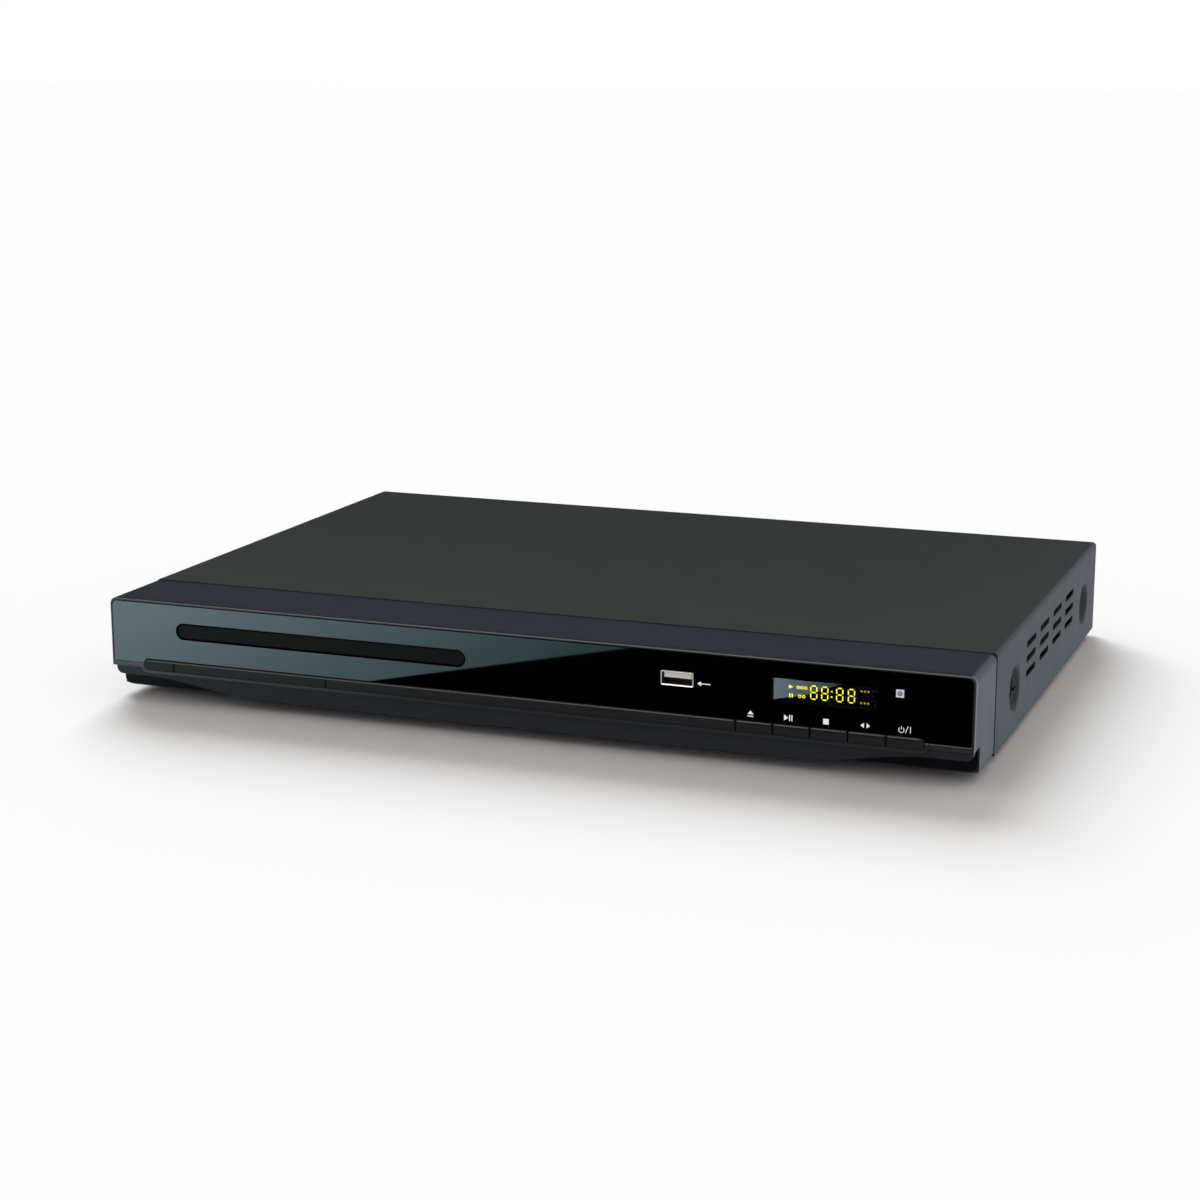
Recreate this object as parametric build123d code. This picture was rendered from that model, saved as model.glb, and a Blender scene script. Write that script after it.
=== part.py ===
"""Low disc player with a sliding tray: case, front keys, boards and loading mechanism, in millimetres.

The frame has +X to the right as the player is faced, +Y to the back and +Z up. The origin is on the
surface the player stands on, under the middle of its outer box.
"""
from build123d import *
import math
import os

# Case
CASE_WIDTH = 360.0          # bezel and cover, side to side
CASE_DEPTH = 255.0          # front face to the rear lip of the cover
CASE_HEIGHT = 40.0          # underside of the pan to the top of the cover
FOOT_HEIGHT = 3.0
COVER_SHEET = 0.8
COVER_CORNER = 1.8
COVER_SEAM = 2.0            # dark line between bezel and cover
PAN_SHEET = 1.0
PAN_FLANGE = 6.0
PAN_EAR = 18.0              # width of the ears for the cover screws
PAN_EAR_TOP = 7.0
PANEL_SHEET = 1.0
PANEL_FLANGE = 8.0
GRILLE_PITCH = 6.0          # slots in the pan and in the rear panel
GRILLE_WIDTH = 2.4
GRILLE_COLUMNS = 4
GRILLE_LENGTH = 28.0
GRILLE_ROW_PITCH = 36.0
GRILLE_SHIFT = 6.0          # ahead of the middle of the power board
REAR_GRILLE_COLUMNS = 14
REAR_GRILLE_LENGTH = 16.0
NEST_GAP = 0.1              # between fixed pieces that nest
KEY_PROUD = 1.5             # the keys stand this far out of the front face
JACK_REACH = 8.5            # the round jacks stand this far out of the back

# Bezel moulding
BEZEL_DEPTH = 35.0
BEZEL_WALL = 2.0
BEZEL_CORNER = 2.8
TONGUE_REACH = 4.0          # lip of the bezel under the cover
TONGUE_THICK = 1.2
GLASS_RIM = 1.2             # frame left showing round the glass
GLASS_THICK = 2.0
GLASS_CORNER = 2.0
GLASS_BOTTOM = 26.4         # depths below the top of the case
LEDGE_BOTTOM = 28.7
FRAME_EDGE = 0.6            # eased edges of the front frame
RIM_EDGE = 0.4
BAND_SET = 2.4              # how far the band under the ledge stands back
BAND_BOTTOM = 32.6
BAND_NOTCH = 8.0            # band cut away at each end
BASE_SET = 10.0             # how far the base wall stands back
BASE_BOTTOM = 38.4
BASE_SLOPE = 3.0
BASE_CORNER = 2.6
BASE_STRIP = 1.3            # gloss strip on the base wall
BASE_STRIP_EDGE = 0.5
CHIN_BOTTOM = 38.3
CHIN_FLAT_IN = 68.0         # ends of the chin's flat middle in from the sides
CHIN_RISE_IN = 15.0         # where the chin has run out
CHIN_EDGE = 0.6
CHIN_CORNER = 2.8
TAB_LENGTH = 12.0
TAB_WIDTH = 16.0

# Row of keys under the glass
STRIP_LEFT_IN = 15.2        # ends of the row in from the sides
STRIP_RIGHT_IN = 18.1
STRIP_TOP = 24.6
STRIP_BOTTOM = 29.2
STRIP_CORNER = 1.8
STRIP_POCKET = 2.6          # depth of the pocket that the keys sit in
BEAD = 1.4                  # bead of the frame under the keys
BEAD_PROUD = 0.7
BEAD_EDGE = 0.35
KEY_PITCH = 14.4
KEY_COUNT = 5
KEY_GAP = 0.25              # round each key
KEY_ROUND = 0.5
KEY_LINE = 0.35             # groove along the top of each key
KEY_LINE_DROP = 1.1
KEY_LINE_DEPTH = 0.3
KEY_TRAVEL = 0.6
STEM_WIDTH = 6.0
STEM_HEIGHT = 2.2
BARB_WIDTH = 8.4
BARB_THICK = 0.8
TRIM_GROOVES = (29.8, 99.0)     # in from the left side
GROOVE_WIDTH = 0.6
GROOVE_DEPTH = 0.9

# Windows and sockets in the front
SLOT_IN = 30.6              # tray slot in from the left side
SLOT_DROP = 11.8
SLOT_WIDTH = 128.8
SLOT_HEIGHT = 7.0
WINDOW_IN = 76.4            # left end of the window in from the right side
WINDOW_WIDTH = 40.0
WINDOW_DROP = 11.8
WINDOW_HEIGHT = 9.0
WINDOW_CROWN = 0.7          # bulge of the display window
WINDOW_SINK = 0.3
USB_IN = 113.8              # in from the right side
USB_DROP = 11.4
USB_WIDTH = 13.1
USB_HEIGHT = 5.7
USB_DEPTH = 14.0
USB_SHEET = 0.4
USB_SET = 0.5
USB_CORNER = 0.8
USB_PLUG = 4.0              # depth of the insulator behind the tongue
USB_TONGUE_SET = 1.2
USB_TONGUE_DROP = 0.6
USB_TONGUE_WIDTH = 11.1
USB_TONGUE_THICK = 1.9
IR_IN = 28.1                # in from the right side
IR_DROP = 8.3
IR_WINDOW = 3.8
IR_CASE = 6.2
IR_LENS = 1.7

# Cover pressings
DIMPLE_RADIUS = 10.5
DIMPLE_FLOOR = 5.8
DIMPLE_DEPTH = 3.0
DIMPLE_DROP = 22.5
DIMPLE_FRONT = 72.6         # behind the front face
DIMPLE_REAR_IN = 29.0       # in front of the rear lip
VENT_ROWS = 3
VENT_LENGTH = 19.0
VENT_HEIGHT = 2.8
VENT_MARGIN = 11.0          # between the dishes and the vents
VENT_SHIFT = -2.3           # vents ahead of the middle between the dishes
VENT_PITCH = 28.3
VENT_DROP = 10.6
VENT_ROW_PITCH = 6.05
LIP_HEIGHT = 9.0

# Feet and screws
FOOT_RADIUS = 9.0
FOOT_RECESS = 5.0
FOOT_STUD = 2.4
FOOT_SIDE = 34.0            # in from the sides
FOOT_FRONT = 52.0           # behind the front face
FOOT_REAR = 24.0            # in front of the rear lip
SCREW_SHANK = 1.4
SCREW_CLEAR = 0.3
SCREW_HEAD = 2.8
SCREW_HEAD_HEIGHT = 1.8
COVER_HEAD = 5.0
COVER_HEAD_HEIGHT = 2.7
SCREW_LENGTH = 5.0
TAB_SIDE = 45.0             # outer bezel tabs in from the sides
REAR_SCREW_SIDE = 30.0      # outer rear screws in from the sides

# Boards
BOARD_THICK = 1.6
STANDOFF = 5.0
STANDOFF_RADIUS = 3.0
MAIN_WIDTH = 62.0
MAIN_DEPTH = 100.0
MAIN_GAP = 4.0              # between the main and power boards
POWER_WIDTH = 46.0
POWER_DEPTH = 128.0
PART_GAP = 5.0              # between the parts along the power board
BOARD_EDGE = 5.0            # screw holes in from the edges
BOARD_SIDE = 5.0            # power board in from the cover
FRONT_BOARD_LEFT_IN = 128.0     # ends of the front board in from the right side
FRONT_BOARD_RIGHT_IN = 12.0
FRONT_BOARD_SET = 10.0      # behind the front face
FRONT_BOARD_TOP = 5.0
FRONT_BOARD_BOTTOM = 30.0
FRONT_HOLE_SIDE = 4.0
FRONT_HOLE_DROPS = (8.0, 21.5)
BOSS_RADIUS = 2.6
SWITCH = 6.0
SWITCH_TIP = 1.6
SWITCH_PLUNGER = 0.8

# Parts on the boards
CHIPS = ((-12, -6, 24, 24, 1.8), (14, -4, 11, 22, 1.2), (-14, 20, 18, 11, 2.2), (9, 20, 9, 6, 1.6))
MAIN_CAN = (3.2, 9.0)       # radius and height
MAIN_CAN_COUNT = 3
MAIN_CAN_PITCH = 11.0
MAIN_CAN_SIDE = 14.0
MAIN_CAN_SET = 14.0
BIG_CAN = (8.5, 24.0)
SMALL_CAN = (4.4, 15.0)
SMALL_CAN_COUNT = 4
SMALL_CAN_PITCH = 11.0
CORE = (26.0, 12.0, 24.0)   # width, depth and height
CORE_LIMB = 3.5
CORE_YOKE = 4.0
BOBBIN = (24.0, 20.0, 2.2)
COIL = (19.0, 22.0)
SINK = (34.0, 2.0, 22.0)
FINS = 5
FIN = (1.4, 7.0)

# Sockets at the back
JACK_COUNT = 3
JACK_PITCH = 14.0
JACK_SIDE = 1.0             # jack block in from the right of the main board
JACK_RADIUS = 4.15
JACK_BORE = 1.65
JACK_BOSS = 0.4             # insulator round each barrel
JACK_EDGE = 0.5
JACK_LIFT = 8.0             # jack axis above its board
JACK_BODY_DEPTH = 12.0
JACK_BODY_HEIGHT = 13.0
HDMI_SIDE = 10.0            # in from the left of the main board
HDMI_WIDTH = 15.0
HDMI_HEIGHT = 5.6
HDMI_DEPTH = 12.0
HDMI_SHEET = 0.5
HDMI_FLARE = 1.6
HDMI_TONGUE = (10.0, 0.9)
INLET_WIDTH = 21.0
INLET_HEIGHT = 13.0
INLET_DEPTH = 20.0
INLET_FLANGE = 2.0
INLET_BORE_DEPTH = 14.0
INLET_LOBE = 4.1
INLET_PITCH = 8.6
INLET_PIN = 1.2

# Tray
TRAY_WIDTH = 124.6
TRAY_LENGTH = 194.0
TRAY_HEIGHT = 5.6
TRAY_TRAVEL = 130.0
TRAY_SKIRT = 2.0
TRAY_FLOOR = 1.0
DISC_CENTRE = 70.0          # behind the front face
DISC_RECESS = 60.6
DISC_DEPTH = 1.6
SMALL_RECESS = 41.0
SMALL_DEPTH = 0.8
TRAY_HOLE = 19.0
TRAY_GATE = 24.0            # half width of the pickup's gate
GATE_RIB = 1.6
DOOR_GAP = 0.45
DOOR_THICK = 2.6
DOOR_SINK = 0.4
DOOR_EDGE = 0.5

# Gear train
PRESSURE = math.radians(20)
ADDENDUM = 0.8
DEDENDUM = 1.1
BACKLASH = 0.22
RACK_MODULE = 1.0
PINION_TEETH = 18
RACK_X = 50.0               # pitch line, from the middle of the tray
RACK_BACK = 3.0
TRAY_GEAR_SET = 50.0        # gear axis behind the front face
WHEEL_MODULE = 0.7
WHEEL_TEETH = 40
SMALL_TEETH = 12
MESH_TURN = -134.0          # direction from the tray gear to the pulley gear
AXLE = 2.0
AXLE_CLEAR = 0.05
PULLEY_RADIUS = 12.2
MOTOR_PULLEY_RADIUS = 3.4
PULLEY_FLANGE = 1.0
PULLEY_HEIGHT = 3.0
BELT = 1.3
BELT_CLEAR = 0.1
MOTOR_RADIUS = 12.0
MOTOR_HEIGHT = 12.2
MOTOR_X = -14.0             # from the middle of the tray
MOTOR_SET = 30.0
MOTOR_SHAFT = 1.0

# Loader frame
FRAME_FRONT = 17.0
FRAME_TAIL = 5.0            # frame behind the tray
FRAME_GAP = 0.5             # beside the tray
FRAME_WALL = 4.0
FRAME_LIFT = 4.0            # frame above the pan
RUNNER_GAP = 0.25           # over and under the tray
RUNNER_WIDTH = 5.0
RUNNER_HEIGHT = 3.2
GUIDE_REACH = 2.0
DECK_THICK = 2.0
DECK_DROP = 11.1            # deck top below the middle of the tray
EAR_RADIUS = 6.0
EAR_REACH = 7.0
EAR_THICK = 2.6
EAR_SETS = (62.0, 189.0)
WALL_WINDOW = 90.0          # opening in each wall
BAY_FRONT = 23.5            # half width of the opening at its narrow front
BAY_REAR = 39.5
BAY_START = 46.0
BAY_STEP = 71.0
BAY_END = 180.0

# Disc clamp
BRIDGE_LIFT = 5.5           # bridge above the middle of the tray
BRIDGE_SHEET = 1.2
BRIDGE_DEPTH = 34.0
BRIDGE_RIB = 80.0
CLAMP_NECK = 10.5
CLAMP_FLANGE = 14.5
CLAMP_CAP = 1.2
CLAMP_GAP = 0.3
CLAMP_LIFT = 3.5
CLAMP_BORE = 8.2
CLAMP_BORE_DEPTH = 1.5

# Traverse, given level as it plays, then tipped down to its rest
LIFT_ANGLE = 4.1
PIVOT_SET = 168.0
PIVOT_PIN = 2.0
BUSH_RADIUS = 4.0
SEAT_LIFT = 2.2             # disc seat above the middle of the tray
TRAVERSE_FRONT = 51.5
TRAVERSE_BACK = 173.0
TRAVERSE_NOSE = 20.5        # half width at the front
TRAVERSE_HALF = 36.0
TRAVERSE_THICK = 2.5
TRAVERSE_DROP = 8.2         # plate top below the disc seat
WELL_HALF = 22.0            # opening for the pickup
WELL_FRONT = 82.0
WELL_PLAY = 2.5            # left behind the pickup at the outer end of its travel
LIFT_PIN = 1.2
LIFT_PIN_X = -8.0
CAM_TRAVEL = 10.2
CAM_THICK = 2.2
CAM_CLEAR = 0.35
CAM_GUIDE = 1.4
SPINDLE_RADIUS = 11.0
SPINDLE_SHAFT = 1.2
TABLE_RADIUS = 14.0
TABLE_THICK = 1.4
TABLE_HUB = 7.3
TABLE_HUB_HEIGHT = 1.9
ROD_RADIUS = 1.5
ROD_CLEAR = 0.06
ROD_X = 26.0
ROD_DROP = 13.5             # rods below the disc seat
SCREW_X = -28.0
SCREW_RADIUS = 1.5
SCREW_DROP = 17.1
FEED_MOTOR_RADIUS = 5.6
FEED_MOTOR_LENGTH = 12.0
ROD_LUG = 5.0               # length of the lugs that hold the rods
SLED_WIDTH = 40.0
SLED_LENGTH = 32.0
SLED_TRAVEL = 34.0
LENS_SET = 24.0             # lens behind the disc centre, at the inner end of its travel
LENS_FRONT = 10.5           # front of the sled to the lens
LENS_RADIUS = 5.6
LENS_CLEAR = 0.4
LENS_DOME = 2.2

# Ribbons
RIBBON = 0.5
RIBBON_WIDTH = 22.0
RIBBON_BEND = 3.0
RIBBON_SIDE = 30.0          # front cable from the left end of the front board
RIBBON_RISE = 8.0

# Places worked out from the sizes above
FRONT_Y = -(CASE_DEPTH + JACK_REACH - KEY_PROUD) / 2
BACK_Y = FRONT_Y + CASE_DEPTH
BASE_Z = FOOT_HEIGHT
TOP_Z = BASE_Z + CASE_HEIGHT
SEAM_Y = FRONT_Y + BEZEL_DEPTH
PANEL_Y = BACK_Y - COVER_SHEET - PANEL_SHEET
FLOOR_Z = BASE_Z + PAN_SHEET
INNER_HALF = CASE_WIDTH / 2 - COVER_SHEET - NEST_GAP
BOARD_Z = FLOOR_Z + STANDOFF
POWER_RIGHT = INNER_HALF - BOARD_SIDE
POWER_LEFT = POWER_RIGHT - POWER_WIDTH
POWER_X = (POWER_LEFT + POWER_RIGHT) / 2
MAIN_RIGHT = POWER_LEFT - MAIN_GAP
MAIN_LEFT = MAIN_RIGHT - MAIN_WIDTH
MAIN_BACK = PANEL_Y - NEST_GAP
BOARD_TOP = BOARD_Z + BOARD_THICK
JACK_X = MAIN_RIGHT - JACK_SIDE - JACK_COUNT * JACK_PITCH / 2
HDMI_X = MAIN_LEFT + HDMI_SIDE
INLET_X = POWER_X
SLOT_X = -CASE_WIDTH / 2 + SLOT_IN + SLOT_WIDTH / 2
STRIP_LEFT = -CASE_WIDTH / 2 + STRIP_LEFT_IN
STRIP_RIGHT = CASE_WIDTH / 2 - STRIP_RIGHT_IN
WINDOW_LEFT = CASE_WIDTH / 2 - WINDOW_IN
USB_X = CASE_WIDTH / 2 - USB_IN
IR_X = CASE_WIDTH / 2 - IR_IN
FRONT_BOARD_LEFT = CASE_WIDTH / 2 - FRONT_BOARD_LEFT_IN
FRONT_BOARD_RIGHT = CASE_WIDTH / 2 - FRONT_BOARD_RIGHT_IN
DIMPLE_REAR = CASE_DEPTH - DIMPLE_REAR_IN
VENT_SPACE = DIMPLE_REAR - DIMPLE_FRONT - 2 * (DIMPLE_RADIUS + VENT_MARGIN)
VENT_COLUMNS = int((VENT_SPACE + VENT_PITCH - VENT_LENGTH) / VENT_PITCH)
CAN_Y = PANEL_Y + PANEL_SHEET - INLET_DEPTH - PART_GAP - BIG_CAN[0]
CORE_Y = CAN_Y - BIG_CAN[0] - PART_GAP - COIL[1] / 2
SINK_Y = CORE_Y - COIL[1] / 2 - PART_GAP - SINK[1] / 2
SMALL_CAN_Y = SINK_Y - SINK[1] / 2 - FIN[1] - PART_GAP - SMALL_CAN[0]
TRAY_Z = TOP_Z - SLOT_DROP
TRAY_LOW = TRAY_Z - TRAY_HEIGHT / 2
TRAY_HIGH = TRAY_Z + TRAY_HEIGHT / 2
TRAY_FRONT = FRONT_Y + DOOR_SINK + DOOR_THICK
FRAME_BACK = DOOR_SINK + DOOR_THICK + TRAY_LENGTH + FRAME_TAIL
SMALL_FLOOR = TRAY_HIGH - DISC_DEPTH - SMALL_DEPTH
TRAY_UNDER = SMALL_FLOOR - TRAY_FLOOR
DISC_Y = FRONT_Y + DISC_CENTRE
DECK_Z = TRAY_Z - DECK_DROP
FRAME_Z = FLOOR_Z + FRAME_LIFT
FRAME_IN = TRAY_WIDTH / 2 + FRAME_GAP
FRAME_OUT = FRAME_IN + FRAME_WALL
BRIDGE_Z = TRAY_Z + BRIDGE_LIFT
PINION_RADIUS = RACK_MODULE * PINION_TEETH / 2
WHEEL_RADIUS = WHEEL_MODULE * WHEEL_TEETH / 2
SMALL_RADIUS = WHEEL_MODULE * SMALL_TEETH / 2
TRAY_GEAR_X = SLOT_X + RACK_X - PINION_RADIUS
TRAY_GEAR_Y = FRONT_Y + TRAY_GEAR_SET
MESH_DISTANCE = WHEEL_RADIUS + SMALL_RADIUS
PULLEY_X = TRAY_GEAR_X + MESH_DISTANCE * math.cos(math.radians(MESH_TURN))
PULLEY_Y = TRAY_GEAR_Y + MESH_DISTANCE * math.sin(math.radians(MESH_TURN))
PULLEY_Z = DECK_Z + 0.4
LOAD_MOTOR_X = SLOT_X + MOTOR_X
LOAD_MOTOR_Y = FRONT_Y + MOTOR_SET
SEAT_Z = TRAY_Z + SEAT_LIFT
PLATE_HIGH = SEAT_Z - TRAVERSE_DROP
PLATE_LOW = PLATE_HIGH - TRAVERSE_THICK
PIVOT_Y = FRONT_Y + PIVOT_SET
PIVOT_Z = DECK_Z
ROD_Z = SEAT_Z - ROD_DROP
FEED_Z = SEAT_Z - SCREW_DROP
LENS_Y = DISC_Y + LENS_SET
SLED_FRONT = LENS_Y - LENS_FRONT
WELL_BACK = SLED_FRONT + SLED_LENGTH + SLED_TRAVEL + WELL_PLAY - FRONT_Y
KEY_FIRST = STRIP_RIGHT - KEY_COUNT * KEY_PITCH
STRIP_DROP = (STRIP_TOP + STRIP_BOTTOM) / 2
CAVITY_Y = FRONT_Y + GLASS_THICK + BEZEL_WALL
KEY_NAMES = ("eject", "play", "stop", "channel", "power")


def back(distance):
    """Y at a distance behind the front face."""
    return FRONT_Y + distance


def down(distance):
    """Z at a distance below the top of the case."""
    return TOP_Z - distance


def across(inset):
    """X of a row of three: the middle and one in from each side."""
    reach = CASE_WIDTH / 2 - inset
    return (-reach, 0, reach)


def rect(u0, u1, v0, v1):
    """Flat rectangle between two corners."""
    return Pos((u0 + u1) / 2, (v0 + v1) / 2) * Rectangle(u1 - u0, v1 - v0)


def along_x(sketch, x0, x1):
    """Extrude a sketch drawn in (Y, Z) from x0 to x1."""
    plane = Plane(origin=(x0, 0, 0), x_dir=(0, 1, 0), z_dir=(1, 0, 0))
    return extrude(plane * sketch, amount=x1 - x0)


def along_y(sketch, y0, y1):
    """Extrude a sketch drawn in (X, Z) from y0 to y1."""
    plane = Plane(origin=(0, y1, 0), x_dir=(1, 0, 0), z_dir=(0, -1, 0))
    return extrude(plane * sketch, amount=y1 - y0)


def along_z(sketch, z0, z1):
    """Extrude a sketch drawn in (X, Y) from z0 to z1."""
    return extrude(Pos(0, 0, z0) * sketch, amount=z1 - z0)


def block(x0, x1, y0, y1, z0, z1):
    """Straight block between two corners."""
    return along_z(rect(x0, x1, y0, y1), z0, z1)


def rod_x(y, z, radius, x0, x1):
    """Round bar along X."""
    return along_x(Pos(y, z) * Circle(radius), x0, x1)


def rod_y(x, z, radius, y0, y1):
    """Round bar along Y."""
    return along_y(Pos(x, z) * Circle(radius), y0, y1)


def rod_z(x, y, radius, z0, z1):
    """Round bar along Z."""
    return along_z(Pos(x, y) * Circle(radius), z0, z1)


def turned(points):
    """Solid of revolution about Z from (radius, height) points."""
    return revolve(Plane.XZ * make_face(Polyline(*points, close=True)), axis=Axis.Z)


def outline(points):
    """Closed face through straight edges."""
    return make_face(Polyline(*points, close=True))


def rounded(sketch, radius):
    """Sketch with all its corners rounded."""
    return fillet(sketch.vertices(), radius)


def screw(head, head_height, length):
    """Pan-head screw along Z, with the underside of its head at the origin."""
    top = rod_z(0, 0, head, 0, head_height)
    top = fillet(top.edges().group_by(Axis.Z)[-1], head_height * 0.6)
    return top + rod_z(0, 0, SCREW_SHANK, -length, 0)


def at_each(solid, places):
    """Copies of one solid as a group, at the given locations."""
    return Compound(children=[place * solid for place in places])


# Top cover


def cover_outline():
    """Outer section of the case across X, with its two rounded top corners."""
    section = rect(-CASE_WIDTH / 2, CASE_WIDTH / 2, BASE_Z, TOP_Z)
    return fillet(section.vertices().group_by(Axis.Y)[-1], COVER_CORNER)


def cover_hollow():
    """Inner section of the cover."""
    half = CASE_WIDTH / 2 - COVER_SHEET
    section = rect(-half, half, BASE_Z, TOP_Z - COVER_SHEET)
    return fillet(section.vertices().group_by(Axis.Y)[-1], COVER_CORNER - COVER_SHEET)


def dimple():
    """Dish drawn into the sheet, with its rim at z = 0 and its axis along Z."""
    skin = Spline((DIMPLE_FLOOR, -DIMPLE_DEPTH), (DIMPLE_RADIUS, 0), tangents=((1, 0), (1, 0)))
    inner = Pos(0, -COVER_SHEET) * skin
    floor = Line((0, -DIMPLE_DEPTH), skin @ 0)
    axis = Line((0, -DIMPLE_DEPTH), (0, -DIMPLE_DEPTH - COVER_SHEET))
    under = Line((0, -DIMPLE_DEPTH - COVER_SHEET), inner @ 0)
    rim = Line(skin @ 1, inner @ 1)
    return revolve(Plane.XZ * make_face([skin, inner, floor, axis, under, rim]), axis=Axis.Z)


def side_place(side, distance, drop, inset=0.0):
    """Location on a side of the case whose Z axis points out of it."""
    return Pos(side * (CASE_WIDTH / 2 - inset), back(distance), down(drop)) * Rot(0, side * 90, 0)


def rear_screw_places():
    """Locations of the screws through the rear lip of the cover."""
    drop = COVER_SHEET + LIP_HEIGHT / 2
    return [Pos(x, BACK_Y, down(drop)) * Rot(-90, 0, 0) for x in across(REAR_SCREW_SIDE)]


def top_cover():
    """Sheet cover: top, two sides with vents and dishes, and a lip down the back."""
    start = SEAM_Y + COVER_SEAM
    cover = along_y(cover_outline() - cover_hollow(), start, BACK_Y)
    lip = cover_hollow() & rect(-CASE_WIDTH, CASE_WIDTH, down(COVER_SHEET + LIP_HEIGHT), TOP_Z)
    cover += along_y(lip, BACK_Y - COVER_SHEET, BACK_Y)
    middle = (back((DIMPLE_FRONT + DIMPLE_REAR) / 2 + VENT_SHIFT),
              down(VENT_DROP + (VENT_ROWS - 1) * VENT_ROW_PITCH / 2))
    slots = Pos(*middle) * GridLocations(VENT_PITCH, VENT_ROW_PITCH, VENT_COLUMNS, VENT_ROWS)
    vents = Sketch() + [place * SlotOverall(VENT_LENGTH, VENT_HEIGHT) for place in slots]
    dish = dimple()
    for side in (-1, 1):
        wall = sorted((side * (CASE_WIDTH / 2 + 1), side * (CASE_WIDTH / 2 - 2 * COVER_SHEET)))
        cover -= along_x(vents, *wall)
        for distance in (DIMPLE_FRONT, DIMPLE_REAR):
            place = side_place(side, distance, DIMPLE_DROP)
            cover -= place * rod_z(0, 0, DIMPLE_RADIUS, -2 * COVER_SHEET, 1)
            cover += place * dish
        hole = rod_z(0, 0, SCREW_SHANK + SCREW_CLEAR, -DIMPLE_DEPTH - 2 * COVER_SHEET, 0)
        cover -= side_place(side, DIMPLE_FRONT, DIMPLE_DROP) * hole
    for place in rear_screw_places():
        cover -= place * rod_z(0, 0, SCREW_SHANK + SCREW_CLEAR, -2 * COVER_SHEET, 1)
    return cover


def cover_screws():
    """Washer-head screws on the floors of the front dishes, and smaller ones through the rear lip."""
    places = [side_place(side, DIMPLE_FRONT, DIMPLE_DROP, DIMPLE_DEPTH) for side in (-1, 1)]
    large = at_each(screw(COVER_HEAD, COVER_HEAD_HEIGHT, SCREW_LENGTH), places)
    small = at_each(screw(SCREW_HEAD, SCREW_HEAD_HEIGHT, SCREW_LENGTH), rear_screw_places())
    return Compound(children=[*large.solids(), *small.solids()])


# Pan, rear panel and feet


def board_holes(x0, x1, y0, y1):
    """Screw places near the four corners of a board."""
    xs = (x0 + BOARD_EDGE, x1 - BOARD_EDGE)
    ys = (y0 + BOARD_EDGE, y1 - BOARD_EDGE)
    return [(x, y) for x in xs for y in ys]


def main_holes():
    """Screw places of the main board."""
    return board_holes(MAIN_LEFT, MAIN_RIGHT, MAIN_BACK - MAIN_DEPTH, MAIN_BACK - JACK_BODY_DEPTH)


def power_holes():
    """Screw places of the power board."""
    return board_holes(POWER_LEFT, POWER_RIGHT, MAIN_BACK - POWER_DEPTH, MAIN_BACK - INLET_DEPTH)


def ear_places():
    """Screw places of the loader's ears."""
    return [(SLOT_X + side * (FRAME_OUT + EAR_REACH), back(distance))
            for side in (-1, 1) for distance in EAR_SETS]


def foot_places():
    """Middle of each foot, by name."""
    half = CASE_WIDTH / 2 - FOOT_SIDE
    rows = {"front": back(FOOT_FRONT), "rear": BACK_Y - FOOT_REAR}
    sides = {"left": -half, "right": half}
    return {f"foot_{row}_{side}": (x, y) for row, y in rows.items() for side, x in sides.items()}


def tab_places():
    """Middle of each bezel tab on the pan."""
    return [(x, SEAM_Y + TAB_LENGTH / 2) for x in across(TAB_SIDE)]


def post(x, y, height):
    """Drawn stand-off with its pilot hole, on the pan."""
    return Pos(x, y, FLOOR_Z + height / 2) * Cone(STANDOFF_RADIUS + 0.8, STANDOFF_RADIUS, height)


def chassis_pan():
    """Folded steel pan with stand-offs, side ears for the cover screws and floor vents."""
    section = rect(-INNER_HALF, INNER_HALF, BASE_Z, BASE_Z + PAN_FLANGE)
    section = fillet(section.vertices().group_by(Axis.Y)[0], PAN_SHEET * 1.5)
    hollow = rect(-INNER_HALF + PAN_SHEET, INNER_HALF - PAN_SHEET, FLOOR_Z, TOP_Z)
    hollow = fillet(hollow.vertices().group_by(Axis.Y)[0], PAN_SHEET * 0.5)
    pan = along_y(section - hollow, SEAM_Y + NEST_GAP, PANEL_Y)
    for side in (-1, 1):
        face = side * (CASE_WIDTH / 2 - DIMPLE_DEPTH - COVER_SHEET)
        middle = back(DIMPLE_FRONT)
        top = down(DIMPLE_DROP - PAN_EAR_TOP)
        ear = rect(middle - PAN_EAR / 2, middle + PAN_EAR / 2, BASE_Z + PAN_SHEET / 2, top)
        ear = fillet(ear.vertices().group_by(Axis.Y)[-1], PAN_EAR / 4)
        pan += along_x(ear, *sorted((face, face - side * PAN_SHEET)))
    for x, y in main_holes() + power_holes():
        pan += post(x, y, STANDOFF)
    for x, y in ear_places():
        pan += post(x, y, FRAME_LIFT)
    pilot = SCREW_SHANK + NEST_GAP
    for x, y in main_holes() + power_holes() + ear_places() + tab_places():
        pan -= rod_z(x, y, pilot, BASE_Z - 1, BOARD_Z + 1)
    for x, y in foot_places().values():
        pan -= rod_z(x, y, FOOT_STUD + NEST_GAP, BASE_Z - 1, FLOOR_Z + 1)
    for side in (-1, 1):
        hole = rod_z(0, 0, pilot, -DIMPLE_DEPTH - COVER_SHEET - 2 * PAN_SHEET, 0)
        pan -= side_place(side, DIMPLE_FRONT, DIMPLE_DROP) * hole
    middle = Pos(POWER_X, MAIN_BACK - POWER_DEPTH / 2 - GRILLE_SHIFT)
    vents = middle * GridLocations(GRILLE_PITCH, GRILLE_ROW_PITCH, GRILLE_COLUMNS, 2)
    slots = Sketch() + [place * Rot(0, 0, 90) * SlotOverall(GRILLE_LENGTH, GRILLE_WIDTH) for place in vents]
    return pan - along_z(slots, BASE_Z - 1, FLOOR_Z + 1)


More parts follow.
